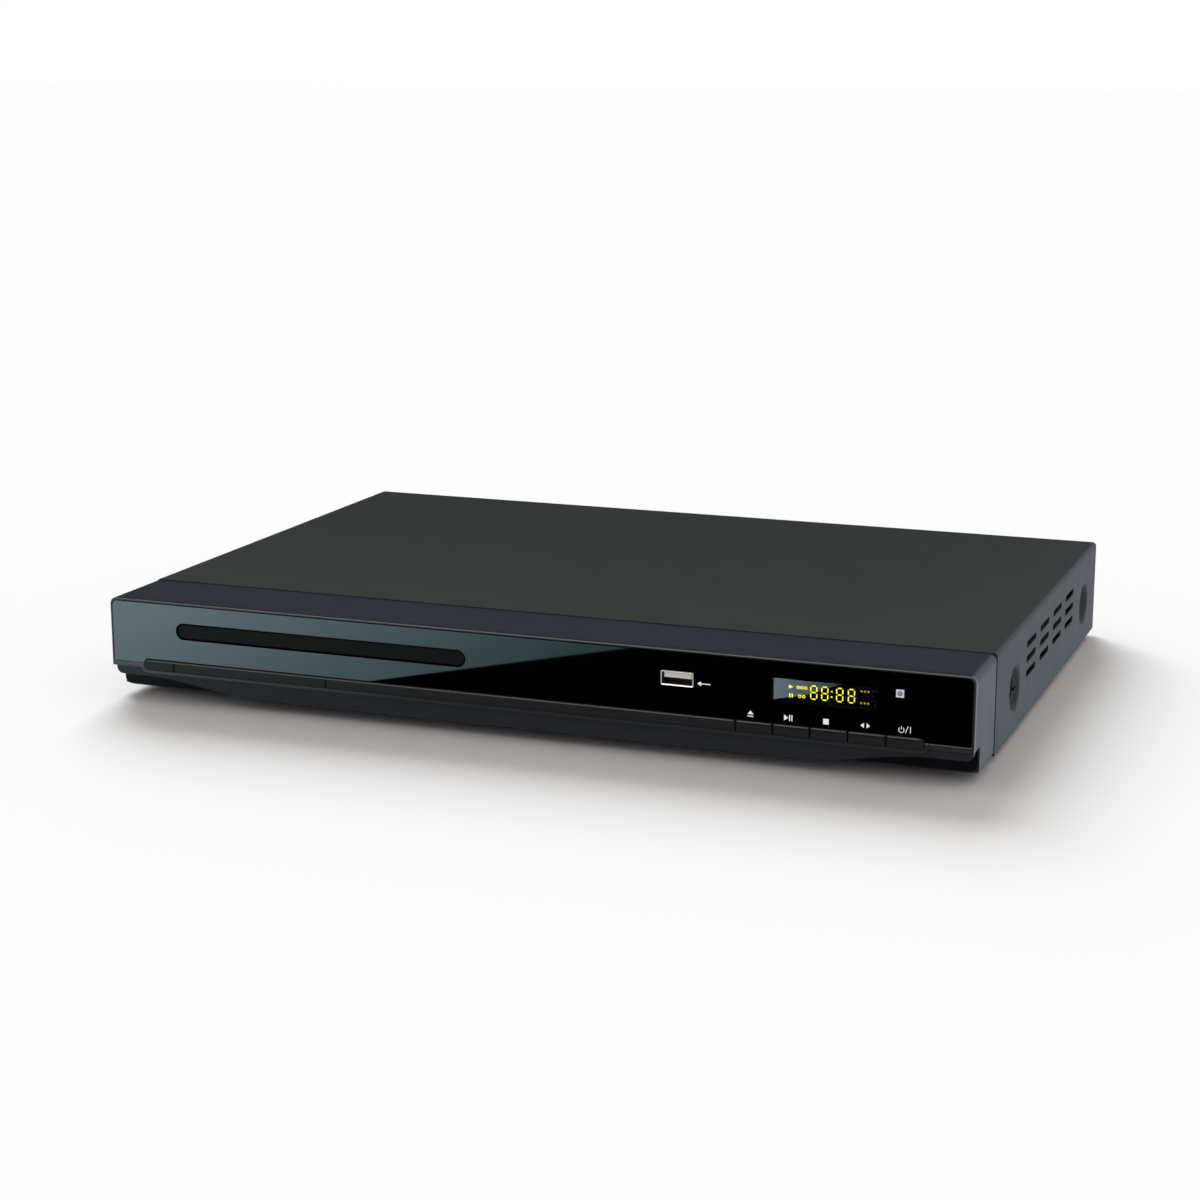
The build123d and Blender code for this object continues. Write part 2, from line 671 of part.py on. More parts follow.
def jack_places():
    """X of each round jack."""
    return [JACK_X + (i - (JACK_COUNT - 1) / 2) * JACK_PITCH for i in range(JACK_COUNT)]


def rear_panel():
    """Rear sheet with its flanges and the holes for the sockets."""
    high = TOP_Z - COVER_SHEET - NEST_GAP
    face = rect(-INNER_HALF, INNER_HALF, BASE_Z, high)
    face = fillet(face.vertices().group_by(Axis.Y)[-1], COVER_CORNER)
    jack_z = BOARD_TOP + JACK_LIFT
    jack_hole = JACK_RADIUS + JACK_BOSS + 2 * NEST_GAP
    face -= Sketch() + [Pos(x, jack_z) * Circle(jack_hole) for x in jack_places()]
    socket_z = BOARD_TOP + HDMI_HEIGHT / 2
    face -= Pos(HDMI_X, socket_z) * Rectangle(HDMI_WIDTH + 2 * NEST_GAP, HDMI_HEIGHT + 2 * NEST_GAP)
    inlet_z = BOARD_TOP + INLET_HEIGHT / 2
    face -= Pos(INLET_X, inlet_z) * Rectangle(INLET_WIDTH + 2 * NEST_GAP, INLET_HEIGHT + 2 * NEST_GAP)
    slots = Pos(SLOT_X, (BASE_Z + TOP_Z) / 2) * GridLocations(GRILLE_PITCH, 1, REAR_GRILLE_COLUMNS, 1)
    slot = Rot(0, 0, 90) * SlotOverall(REAR_GRILLE_LENGTH, GRILLE_WIDTH)
    face -= Sketch() + [place * slot for place in slots]
    panel = along_y(face, PANEL_Y, PANEL_Y + PANEL_SHEET)
    flange = INNER_HALF - PANEL_FLANGE
    panel += block(-flange, flange, PANEL_Y - PANEL_FLANGE, PANEL_Y, high - PANEL_SHEET, high)
    for place in rear_screw_places():
        panel -= place * rod_z(0, 0, SCREW_SHANK + NEST_GAP, -PANEL_FLANGE, 1)
    return panel


def foot(x, y):
    """Moulded foot with a ringed sole and a stud through the pan."""
    edge = FOOT_HEIGHT * 0.2
    stud = FOOT_HEIGHT + PAN_SHEET + 1
    points = [(FOOT_RECESS, 0), (FOOT_RADIUS - edge, 0), (FOOT_RADIUS, edge),
              (FOOT_RADIUS - edge, FOOT_HEIGHT), (FOOT_STUD, FOOT_HEIGHT), (FOOT_STUD, stud), (0, stud),
              (0, edge), (FOOT_RECESS, edge)]
    return Pos(x, y, 0) * turned(points)


def bezel_screws():
    """Screws up through the pan into the bezel's tabs."""
    places = [Pos(x, y, BASE_Z) * Rot(180, 0, 0) for x, y in tab_places()]
    return at_each(screw(SCREW_HEAD, SCREW_HEAD_HEIGHT, PAN_SHEET + BEZEL_WALL), places)


# Bezel, glass and keys


def strip_outline(grow=0.0):
    """Front outline of the row of keys, grown all round."""
    bar = rect(STRIP_LEFT - grow, STRIP_RIGHT + grow, down(STRIP_BOTTOM + grow), down(STRIP_TOP - grow))
    return rounded(bar, STRIP_CORNER + grow)


def glass_outline(shrink=0.0):
    """Front outline of the glass, rounded at its upper corners."""
    half = CASE_WIDTH / 2 - GLASS_RIM - shrink
    pane = rect(-half, half, down(GLASS_BOTTOM - shrink), down(GLASS_RIM + shrink))
    return fillet(pane.vertices().group_by(Axis.Y)[-1], GLASS_CORNER)


def tray_slot(grow=0.0):
    """Round-ended outline of the tray slot."""
    return Pos(SLOT_X, TRAY_Z) * SlotOverall(SLOT_WIDTH + 2 * grow, SLOT_HEIGHT + 2 * grow)


def usb_hole():
    """Outline of the hole round the front socket."""
    return Pos(USB_X, down(USB_DROP)) * Rectangle(USB_WIDTH + 2 * NEST_GAP, USB_HEIGHT + 2 * NEST_GAP)


def window_hole(grow=0.0):
    """Outline of the display window."""
    middle = Pos(WINDOW_LEFT + WINDOW_WIDTH / 2, down(WINDOW_DROP))
    return middle * Rectangle(WINDOW_WIDTH + 2 * grow, WINDOW_HEIGHT + 2 * grow)


def chin_outline():
    """Front outline of the chin: low in the middle, sweeping up to thin rounded ends."""
    half = CASE_WIDTH / 2
    top = down(LEDGE_BOTTOM - 2 * NEST_GAP)
    low = down(CHIN_BOTTOM)
    high = down(BAND_BOTTOM)
    flat = half - CHIN_FLAT_IN
    rise = half - CHIN_RISE_IN
    end = half - CHIN_EDGE
    right = Spline((flat, low), (rise, high), tangents=((1, 0), (1, 0)))
    left = Spline((-rise, high), (-flat, low), tangents=((1, 0), (1, 0)))
    rim = Polyline(right @ 1, (end, high), (end, top), (-end, top), (-end, high), left @ 0)
    face = make_face([Line(left @ 1, right @ 0), right, rim, left])
    corners = [v for v in face.vertices() if abs(v.X) > rise + CHIN_EDGE and v.Y < top - NEST_GAP]
    return fillet(corners, CHIN_CORNER)


def key_span(index):
    """Left and right end of a key, before its gaps."""
    left = KEY_FIRST + index * KEY_PITCH
    return left, left + KEY_PITCH


def front_board_holes():
    """Screw places of the front board, as (x, z)."""
    xs = (FRONT_BOARD_LEFT + FRONT_HOLE_SIDE, FRONT_BOARD_RIGHT - FRONT_HOLE_SIDE)
    return [(x, down(drop)) for x in xs for drop in FRONT_HOLE_DROPS]


def profile(points):
    """Section across the bezel from (distance back, depth down) points."""
    return outline([(back(y), down(z)) for y, z in points])


def bezel_shell():
    """Hollow stepped moulding, open at the back."""
    half = CASE_WIDTH / 2
    wall = BEZEL_WALL
    front = GLASS_THICK + NEST_GAP
    inner = GLASS_THICK + wall
    band = BAND_SET + wall
    base = BASE_SET + wall
    shell = along_x(profile([
        (BEZEL_DEPTH, 0), (front, 0), (front, LEDGE_BOTTOM), (BAND_SET, LEDGE_BOTTOM),
        (BAND_SET, BAND_BOTTOM), (BASE_SET, BAND_BOTTOM), (BASE_SET, BASE_BOTTOM),
        (BASE_SET + BASE_SLOPE, CASE_HEIGHT), (BEZEL_DEPTH, CASE_HEIGHT)]), -half, half)
    face = rect(-half, half, BASE_Z, TOP_Z)
    face = fillet(face.vertices().group_by(Axis.Y)[-1], BEZEL_CORNER)
    face = fillet(face.vertices().group_by(Axis.Y)[0], BASE_CORNER)
    shell &= along_y(face, back(0), SEAM_Y)
    for side in (-1, 1):
        ends = sorted((side * (half + 1), side * (half - BAND_NOTCH)))
        shell -= block(*ends, back(0), back(BASE_SET), BASE_Z, down(LEDGE_BOTTOM))
    shell -= along_x(profile([
        (BEZEL_DEPTH + 1, wall), (inner, wall), (inner, LEDGE_BOTTOM - wall), (base, LEDGE_BOTTOM - wall),
        (base, BASE_BOTTOM - wall), (base + BASE_SLOPE, CASE_HEIGHT - wall),
        (BEZEL_DEPTH + 1, CASE_HEIGHT - wall)]), -half + wall, half - wall)
    keys_half = half - BAND_NOTCH - wall
    keys = profile([
        (base + 1, LEDGE_BOTTOM - 2 * wall), (inner, LEDGE_BOTTOM - 2 * wall), (inner, LEDGE_BOTTOM),
        (band, LEDGE_BOTTOM), (band, BAND_BOTTOM - wall), (base + 1, BAND_BOTTOM - wall)])
    return shell - along_x(keys, -keys_half, keys_half)


def bezel_tongue():
    """Lip behind the bezel that fills the seam from inside the cover."""
    low = BASE_Z + PAN_FLANGE + BEZEL_WALL
    high = TOP_Z - COVER_SHEET - NEST_GAP
    inner = INNER_HALF - TONGUE_THICK
    ring = rect(-INNER_HALF, INNER_HALF, low, high)
    ring = fillet(ring.vertices().group_by(Axis.Y)[-1], COVER_CORNER)
    ring -= rect(-inner, inner, low - 1, high - TONGUE_THICK)
    return along_y(ring, SEAM_Y - BEZEL_WALL, SEAM_Y + TONGUE_REACH)


def front_bezel():
    """Front moulding behind the frame: shell, chin, tongue, openings and bosses."""
    bezel = bezel_shell()
    bezel += along_y(chin_outline(), back(BAND_SET), back(BAND_SET + BEZEL_WALL))
    bezel += bezel_tongue()
    bezel -= along_y(strip_outline(), back(0), back(STRIP_POCKET))
    openings = tray_slot() + usb_hole() + window_hole(-1)
    openings += Pos(IR_X, down(IR_DROP)) * Rectangle(IR_WINDOW, IR_WINDOW)
    bezel -= along_y(openings, back(0), CAVITY_Y + 1)
    for index in range(KEY_COUNT):
        middle = Pos(sum(key_span(index)) / 2, down(STRIP_DROP))
        stem = middle * Rectangle(STEM_WIDTH + 2 * KEY_GAP, STEM_HEIGHT + 2 * KEY_GAP)
        bezel -= along_y(stem, back(0), CAVITY_Y + 1)
    pilot = SCREW_SHANK + NEST_GAP
    for x, z in front_board_holes():
        bezel += rod_y(x, z, BOSS_RADIUS, CAVITY_Y - BEZEL_WALL / 2, back(FRONT_BOARD_SET))
        bezel -= rod_y(x, z, pilot, CAVITY_Y, back(FRONT_BOARD_SET) + 1)
    for x, y in tab_places():
        tab = rect(x - TAB_WIDTH / 2, x + TAB_WIDTH / 2, SEAM_Y - BEZEL_WALL, SEAM_Y + TAB_LENGTH)
        bezel += along_z(tab, FLOOR_Z, FLOOR_Z + BEZEL_WALL) - rod_z(x, y, pilot, BASE_Z, BOARD_Z)
    return bezel


def front_frame():
    """Frame round the glass, with a bead that follows the row of keys."""
    half = CASE_WIDTH / 2
    ring = rect(-half, half, down(LEDGE_BOTTOM), TOP_Z)
    ring = fillet(ring.vertices().group_by(Axis.Y)[-1], BEZEL_CORNER)
    frame = along_y(ring - glass_outline(-NEST_GAP), back(0), back(GLASS_THICK))
    frame = fillet(frame.faces().sort_by(Axis.Y)[0].outer_wire().edges(), FRAME_EDGE)
    frame = chamfer(frame.faces().sort_by(Axis.Y)[0].inner_wires().edges(), RIM_EDGE)
    under = rect(-half, half, BASE_Z, down(GLASS_BOTTOM + NEST_GAP))
    bead = along_y(strip_outline(BEAD) & under, back(-BEAD_PROUD), back(GLASS_THICK))
    frame += fillet(bead.faces().sort_by(Axis.Y)[0].edges(), BEAD_EDGE)
    return frame - along_y(strip_outline(), back(-KEY_PROUD), back(GLASS_THICK + 1))


def base_strip():
    """Gloss strip on the base wall, which shows at both ends of the chin."""
    half = CASE_WIDTH / 2 - BASE_STRIP_EDGE
    notch = CASE_WIDTH / 2 - BAND_NOTCH + NEST_GAP
    face = rect(-half, half, down(BASE_BOTTOM - NEST_GAP), down(BAND_BOTTOM + NEST_GAP))
    face = fillet(face.vertices().group_by(Axis.Y)[0], BASE_CORNER)
    top = down(LEDGE_BOTTOM + NEST_GAP)
    for side in (-1, 1):
        face += rect(*sorted((side * half, side * notch)), down(BAND_BOTTOM + 1), top)
    return along_y(face, back(BASE_SET - BASE_STRIP), back(BASE_SET) - NEST_GAP)


def front_glass():
    """Dark acrylic front with the tray slot, the socket hole and the window cut out."""
    pane = glass_outline() - strip_outline(NEST_GAP) - tray_slot() - usb_hole() - window_hole(NEST_GAP)
    return along_y(pane, back(0), back(GLASS_THICK))


def display_window():
    """Display lens with a slightly crowned front."""
    left = WINDOW_LEFT
    right = WINDOW_LEFT + WINDOW_WIDTH
    crown = ThreePointArc((left, back(WINDOW_SINK)), ((left + right) / 2, back(WINDOW_SINK - WINDOW_CROWN)),
                          (right, back(WINDOW_SINK)))
    rest = Polyline((right, back(WINDOW_SINK)), (right, back(GLASS_THICK)), (left, back(GLASS_THICK)),
                    (left, back(WINDOW_SINK)))
    middle = down(WINDOW_DROP)
    return along_z(make_face([crown, rest]), middle - WINDOW_HEIGHT / 2, middle + WINDOW_HEIGHT / 2)


def key_cap(left, right, depth):
    """Piece of the row of keys between two places, with a rounded front edge."""
    face = strip_outline(-KEY_GAP) & rect(left + KEY_GAP, right - KEY_GAP, BASE_Z, TOP_Z)
    cap = along_y(face, back(-KEY_PROUD), back(depth))
    cap = fillet(cap.faces().sort_by(Axis.Y)[0].edges(), KEY_ROUND)
    line = down(STRIP_TOP + KEY_LINE_DROP)
    groove = rect(left, right, line - KEY_LINE / 2, line + KEY_LINE / 2)
    return cap - along_y(groove, back(-KEY_PROUD), back(-KEY_PROUD + KEY_LINE_DEPTH))


def front_key(index):
    """Key cap with its stem and the barb that keeps it in the bezel."""
    left, right = key_span(index)
    middle = Pos((left + right) / 2, down(STRIP_DROP))
    cap_back = STRIP_POCKET - KEY_TRAVEL - KEY_GAP
    key = key_cap(left, right, cap_back)
    barb = CAVITY_Y + KEY_GAP
    key += along_y(middle * Rectangle(STEM_WIDTH, STEM_HEIGHT), back(cap_back), barb + BARB_THICK)
    return key + along_y(middle * Rectangle(BARB_WIDTH, STEM_HEIGHT), barb, barb + BARB_THICK)


def button_trim():
    """Fixed bar that carries the line of the keys on to the left, with two grooves."""
    trim = key_cap(STRIP_LEFT - STRIP_CORNER, KEY_FIRST, STRIP_POCKET)
    for distance in TRIM_GROOVES:
        x = -CASE_WIDTH / 2 + distance
        groove = rect(x - GROOVE_WIDTH / 2, x + GROOVE_WIDTH / 2, down(STRIP_BOTTOM), down(STRIP_TOP))
        trim -= along_y(groove, back(-KEY_PROUD), back(-KEY_PROUD + GROOVE_DEPTH))
    return trim


# Front board and what it carries


def usb_outline(shrink=0.0):
    """Section of the front socket's shell."""
    width = USB_WIDTH - 2 * shrink
    return Pos(USB_X, down(USB_DROP)) * RectangleRounded(width, USB_HEIGHT - 2 * shrink, USB_CORNER - shrink)


def front_board():
    """Upright board behind the bezel, cut round the front socket."""
    board = rect(FRONT_BOARD_LEFT, FRONT_BOARD_RIGHT, down(FRONT_BOARD_BOTTOM), down(FRONT_BOARD_TOP))
    board -= Pos(USB_X, down(USB_DROP)) * Rectangle(USB_WIDTH + 2 * NEST_GAP, USB_HEIGHT + 2 * NEST_GAP)
    board -= Sketch() + [Pos(x, z) * Circle(SCREW_SHANK + SCREW_CLEAR) for x, z in front_board_holes()]
    return along_y(board, back(FRONT_BOARD_SET), back(FRONT_BOARD_SET + BOARD_THICK))


def key_switches():
    """One push switch behind each key."""
    tip = CAVITY_Y + KEY_GAP + BARB_THICK + KEY_TRAVEL + KEY_GAP / 2
    switches = []
    for index in range(KEY_COUNT):
        middle = Pos(sum(key_span(index)) / 2, down(STRIP_DROP))
        face = tip + SWITCH_PLUNGER
        body = along_y(middle * Rectangle(SWITCH, SWITCH - 2 * KEY_GAP), face, back(FRONT_BOARD_SET))
        switches.append(body + along_y(middle * Circle(SWITCH_TIP), tip, face))
    return Compound(children=switches)


def display_module():
    """Digit display on the front board, close behind its window."""
    block_face = window_hole(-1 - 2 * NEST_GAP)
    return along_y(block_face, back(GLASS_THICK + NEST_GAP), back(FRONT_BOARD_SET))


def ir_receiver():
    """Remote receiver: a small case with a dome towards its window."""
    z = down(IR_DROP)
    face = CAVITY_Y + IR_LENS
    case = along_y(Pos(IR_X, z) * Rectangle(IR_CASE, IR_CASE), face, back(FRONT_BOARD_SET))
    return case + Pos(IR_X, face, z) * Sphere(IR_LENS)


def usb_shell():
    """Folded steel shell of the front socket."""
    front = back(USB_SET)
    return along_y(usb_outline() - usb_outline(USB_SHEET), front, front + USB_DEPTH)


def usb_tongue():
    """Plastic insulator of the front socket with its contact tongue."""
    front = back(USB_SET)
    high = down(USB_DROP) + USB_HEIGHT / 2 - USB_SHEET - USB_TONGUE_DROP
    root = front + USB_DEPTH - USB_PLUG
    plug = along_y(usb_outline(USB_SHEET), root, front + USB_DEPTH)
    half = USB_TONGUE_WIDTH / 2
    start = front + USB_TONGUE_SET
    return plug + block(USB_X - half, USB_X + half, start, root, high - USB_TONGUE_THICK, high)


# Main and power boards


def flat_board(x0, x1, y0, y1, holes):
    """Circuit board on the stand-offs."""
    hole = Circle(SCREW_SHANK + SCREW_CLEAR)
    board = rect(x0, x1, y0, y1) - (Sketch() + [Pos(x, y) * hole for x, y in holes])
    return along_z(board, BOARD_Z, BOARD_TOP)


def main_board():
    """Decoder board behind the rear panel."""
    return flat_board(MAIN_LEFT, MAIN_RIGHT, MAIN_BACK - MAIN_DEPTH, MAIN_BACK, main_holes())


def power_board():
    """Mains supply board on the right."""
    return flat_board(POWER_LEFT, POWER_RIGHT, MAIN_BACK - POWER_DEPTH, MAIN_BACK, power_holes())


def on_board(x, y, width, depth, height):
    """Block standing on a board."""
    return block(x - width / 2, x + width / 2, y - depth / 2, y + depth / 2, BOARD_TOP, BOARD_TOP + height)


def capacitor(x, y, size):
    """Can of a radius and height standing on a board, with a rounded top."""
    radius, height = size
    can = rod_z(x, y, radius, BOARD_TOP, BOARD_TOP + height)
    return fillet(can.edges().group_by(Axis.Z)[-1], radius * 0.2)


def main_chips():
    """Decoder, memory and driver chips."""
    x = (MAIN_LEFT + MAIN_RIGHT) / 2
    y = MAIN_BACK - MAIN_DEPTH / 2
    return Compound(children=[on_board(x + u, y + v, *size) for u, v, *size in CHIPS])


def main_capacitors():
    """Cans of the decoder board."""
    y = MAIN_BACK - MAIN_DEPTH + MAIN_CAN_SET
    xs = [MAIN_RIGHT - MAIN_CAN_SIDE - i * MAIN_CAN_PITCH for i in range(MAIN_CAN_COUNT)]
    return Compound(children=[capacitor(x, y, MAIN_CAN) for x in xs])


def transformer():
    """Ferrite core with its wound bobbin."""
    width, depth, height = CORE
    half = width / 2
    foot_height = BOBBIN[2]
    core = on_board(POWER_X, CORE_Y, width, depth, height)
    low, high = BOARD_TOP + foot_height + CORE_YOKE, BOARD_TOP + height - CORE_YOKE
    for side in (-1, 1):
        window = sorted((POWER_X + side * (half - CORE_LIMB), POWER_X + side * CORE_YOKE))
        core -= block(*window, CORE_Y - depth, CORE_Y + depth, low, high)
    winding = Pos(POWER_X, CORE_Y) * RectangleRounded(*COIL, CORE_YOKE)
    coil = along_z(winding, low + NEST_GAP, high - NEST_GAP)
    return core + coil + on_board(POWER_X, CORE_Y, *BOBBIN)


def power_capacitors():
    """Mains can and the smoothing cans of the supply."""
    cans = [capacitor(POWER_X, CAN_Y, BIG_CAN)]
    for i in range(SMALL_CAN_COUNT):
        x = POWER_X + (i - (SMALL_CAN_COUNT - 1) / 2) * SMALL_CAN_PITCH
        cans.append(capacitor(x, SMALL_CAN_Y, SMALL_CAN))
    return Compound(children=cans)


def heat_sink():
    """Folded aluminium sink on the supply board, with its fins."""
    width, thick, height = SINK
    fin, reach = FIN
    sink = on_board(POWER_X, SINK_Y, *SINK)
    pitch = (width - 2 * fin) / (FINS - 1)
    for i in range(FINS):
        x = POWER_X + (i - (FINS - 1) / 2) * pitch
        sink += on_board(x, SINK_Y - reach / 2, fin, reach + thick, height)
    return sink


def hdmi_socket():
    """Flat digital socket: a folded shell round a thin tongue."""
    front = PANEL_Y + PANEL_SHEET - HDMI_DEPTH
    middle = BOARD_TOP + HDMI_HEIGHT / 2
    flare = HDMI_WIDTH / 2
    waist = flare - HDMI_FLARE
    shoulder = middle - HDMI_SHEET

    def ring(shrink):
        """Section of the shell, narrower at the bottom."""
        high = HDMI_HEIGHT / 2 - shrink
        side = flare - shrink
        foot_half = waist - shrink
        points = [(-side, middle + high), (side, middle + high), (side, shoulder), (foot_half, middle - high),
                  (-foot_half, middle - high), (-side, shoulder)]
        return outline([(HDMI_X + x, z) for x, z in points])

    outer = PANEL_Y + PANEL_SHEET
    shell = along_y(ring(0), front, outer + HDMI_SHEET)
    shell -= along_y(ring(HDMI_SHEET), front + HDMI_DEPTH / 4, outer + 1)
    width, thick = HDMI_TONGUE
    half = width / 2
    return shell + block(HDMI_X - half, HDMI_X + half, front + 2, outer - 1, middle, middle + thick)


def av_jack_block():
    """Moulded body that holds the round jacks."""
    xs = jack_places()
    z = BOARD_TOP + JACK_LIFT
    ends = (xs[0] - JACK_PITCH / 2, xs[-1] + JACK_PITCH / 2)
    body = block(*ends, PANEL_Y - JACK_BODY_DEPTH, PANEL_Y, BOARD_TOP, BOARD_TOP + JACK_BODY_HEIGHT)
    for x in xs:
        body += rod_y(x, z, JACK_RADIUS + JACK_BOSS, PANEL_Y, PANEL_Y + PANEL_SHEET)
        body -= rod_y(x, z, JACK_BORE, PANEL_Y - JACK_BODY_DEPTH / 2, PANEL_Y + PANEL_SHEET)
    return body


def av_jack_barrels():
    """Plated barrels of the round jacks."""
    z = BOARD_TOP + JACK_LIFT
    start = PANEL_Y + PANEL_SHEET
    barrels = []
    for x in jack_places():
        barrel = rod_y(x, z, JACK_RADIUS, start, BACK_Y + JACK_REACH)
        barrel = fillet(barrel.edges().group_by(Axis.Y)[-1], JACK_EDGE)
        barrels.append(barrel - rod_y(x, z, JACK_BORE, start, BACK_Y + JACK_REACH + 1))
    return Compound(children=barrels)


def inlet_bore():
    """Section of the two-lobed mains opening."""
    z = BOARD_TOP + INLET_HEIGHT / 2
    return Pos(INLET_X, z) * SlotOverall(INLET_PITCH + 2 * INLET_LOBE, 2 * INLET_LOBE)


def mains_inlet():
    """Mains inlet body with its flange and two-lobed opening."""
    z = BOARD_TOP + INLET_HEIGHT / 2
    outer = PANEL_Y + PANEL_SHEET
    body = along_y(Pos(INLET_X, z) * Rectangle(INLET_WIDTH, INLET_HEIGHT), outer - INLET_DEPTH, outer)
    lip = Pos(INLET_X, z) * RectangleRounded(INLET_WIDTH + 3, INLET_HEIGHT + 2, 1.5)
    body += along_y(lip, outer, outer + INLET_FLANGE)
    return body - along_y(inlet_bore(), outer + INLET_FLANGE - INLET_BORE_DEPTH, outer + INLET_FLANGE + 1)


def inlet_pins():
    """Two round pins of the mains inlet."""
    z = BOARD_TOP + INLET_HEIGHT / 2
    floor = PANEL_Y + PANEL_SHEET + INLET_FLANGE - INLET_BORE_DEPTH
    tip = PANEL_Y + PANEL_SHEET + INLET_FLANGE - 3
    pins = []
    for side in (-1, 1):
        pin = rod_y(INLET_X + side * INLET_PITCH / 2, z, INLET_PIN, floor, tip)
        pins.append(fillet(pin.edges().group_by(Axis.Y)[-1], INLET_PIN * 0.6))
    return Compound(children=pins)


def inner_screws():
    """Screws of the three boards, of the loader's ears and of the clamp bridge."""
    places = [Pos(x, y, BOARD_TOP) for x, y in main_holes() + power_holes()]
    face = back(FRONT_BOARD_SET + BOARD_THICK)
    places += [Pos(x, face, z) * Rot(-90, 0, 0) for x, z in front_board_holes()]
    places += [Pos(x, y, FRAME_Z + EAR_THICK) for x, y in ear_places()]
    places += [Pos(x, y, BRIDGE_Z + BRIDGE_SHEET) for x, y in bridge_screw_places()]
    return at_each(screw(SCREW_HEAD, SCREW_HEAD_HEIGHT, SCREW_LENGTH), places)


def ribbon(points):
    """Section of a flat cable that follows straight runs with round bends."""
    line = FilletPolyline(*points, radius=RIBBON_BEND)
    return trace(line, line_width=RIBBON)


def ribbon_cables():
    """Flat cables from the front board and from the supply to the main board."""
    x = FRONT_BOARD_LEFT + RIBBON_SIDE
    half = RIBBON_WIDTH / 2
    face = back(FRONT_BOARD_SET + BOARD_THICK)
    drop_y = face + 3 * RIBBON_BEND
    level = BASE_Z + BEZEL_WALL + RIBBON / 2
    board_y = MAIN_BACK - MAIN_DEPTH
    loop = 2 * RIBBON_BEND
    high = BOARD_TOP + RIBBON_RISE
    start = down(FRONT_BOARD_BOTTOM - loop)
    front_run = [(face, start), (drop_y, start), (drop_y, level), (board_y - loop, level),
                 (board_y - loop, high), (board_y + loop, high), (board_y + loop, BOARD_TOP)]
    front_cable = along_x(ribbon(front_run), x - half, x + half)
    left = MAIN_RIGHT - loop
    right = POWER_LEFT + loop
    supply_run = [(left, BOARD_TOP), (left, high), (right, high), (right, BOARD_TOP)]
    middle = MAIN_BACK - MAIN_DEPTH / 2
    supply_cable = along_y(ribbon(supply_run), middle - half, middle + half)
    return Compound(children=[front_cable, supply_cable])


# Loader frame and drive


def bridge_screw_places():
    """Screw places of the clamp bridge on the frame walls."""
    reach = (FRAME_IN + FRAME_OUT) / 2
    ends = [DISC_Y + end * (BRIDGE_DEPTH / 2 - FRAME_WALL) for end in (-1, 1)]
    return [(SLOT_X + side * reach, y) for side in (-1, 1) for y in ends]


def frame_side(side):
    """One wall of the loader with its runner, guides and ears."""
    front, rear = back(FRAME_FRONT), back(FRAME_BACK)
    low = TRAY_LOW - RUNNER_GAP
    section = rect(FRAME_IN, FRAME_OUT, FRAME_Z, BRIDGE_Z)
    section += rect(FRAME_IN - RUNNER_WIDTH, FRAME_IN, low - RUNNER_HEIGHT, low)
    wall = along_y(section, front, rear)
    high = TRAY_HIGH + RUNNER_GAP
    for distance in EAR_SETS:
        guide = rect(FRAME_IN - GUIDE_REACH, FRAME_IN, back(distance) - 8, back(distance) + 8)
        wall += along_z(guide, high, high + 1.6)
        y = back(distance)
        ear = rect(FRAME_OUT - 1, FRAME_OUT + EAR_REACH, y - EAR_RADIUS, y + EAR_RADIUS)
        ear += Pos(FRAME_OUT + EAR_REACH, y) * Circle(EAR_RADIUS)
        ear -= Pos(FRAME_OUT + EAR_REACH, y) * Circle(SCREW_SHANK + SCREW_CLEAR)
        wall += along_z(ear, FRAME_Z, FRAME_Z + EAR_THICK)
    window = Pos((back(EAR_SETS[0]) + back(EAR_SETS[1])) / 2, (FRAME_Z + DECK_Z) / 2)
    cut = window * RectangleRounded(WALL_WINDOW, (DECK_Z - FRAME_Z) * 0.4, 1.5)
    wall -= along_x(cut, FRAME_IN - 1, FRAME_OUT + 1)
    return wall if side > 0 else mirror(wall, about=Plane.YZ)


def deck_outline():
    """Deck with its stepped opening for the traverse, about the middle of the tray."""
    deck = rect(-FRAME_IN, FRAME_IN, back(FRAME_FRONT), back(FRAME_BACK))
    bay = rect(-BAY_FRONT, BAY_FRONT, back(BAY_START), back(BAY_STEP) + 1)
    bay += rect(-BAY_REAR, BAY_REAR, back(BAY_STEP), back(BAY_END))
    cam_left, cam_right = cam_ends()
    cam_back = back(BAY_START) + CAM_CLEAR + CAM_THICK + 1
    bay += rect(cam_left - CAM_TRAVEL - 1, cam_right + 1, back(BAY_START), cam_back)
    deck -= bay
    return deck - Pos(MOTOR_X, LOAD_MOTOR_Y) * Circle(MOTOR_SHAFT + 2)


def cam_guide_places():
    """Guide pins of the lift cam, as (x, z) from the middle of the tray."""
    return [(LIFT_PIN_X - 14, FRAME_Z + 5), (LIFT_PIN_X + 8, FRAME_Z + 5)]


def cam_ends():
    """Left and right end of the lift cam at rest, from the middle of the tray."""
    xs = [x for x, _ in cam_guide_places()]
    return min(xs) - 5, max(xs) + CAM_TRAVEL + 5


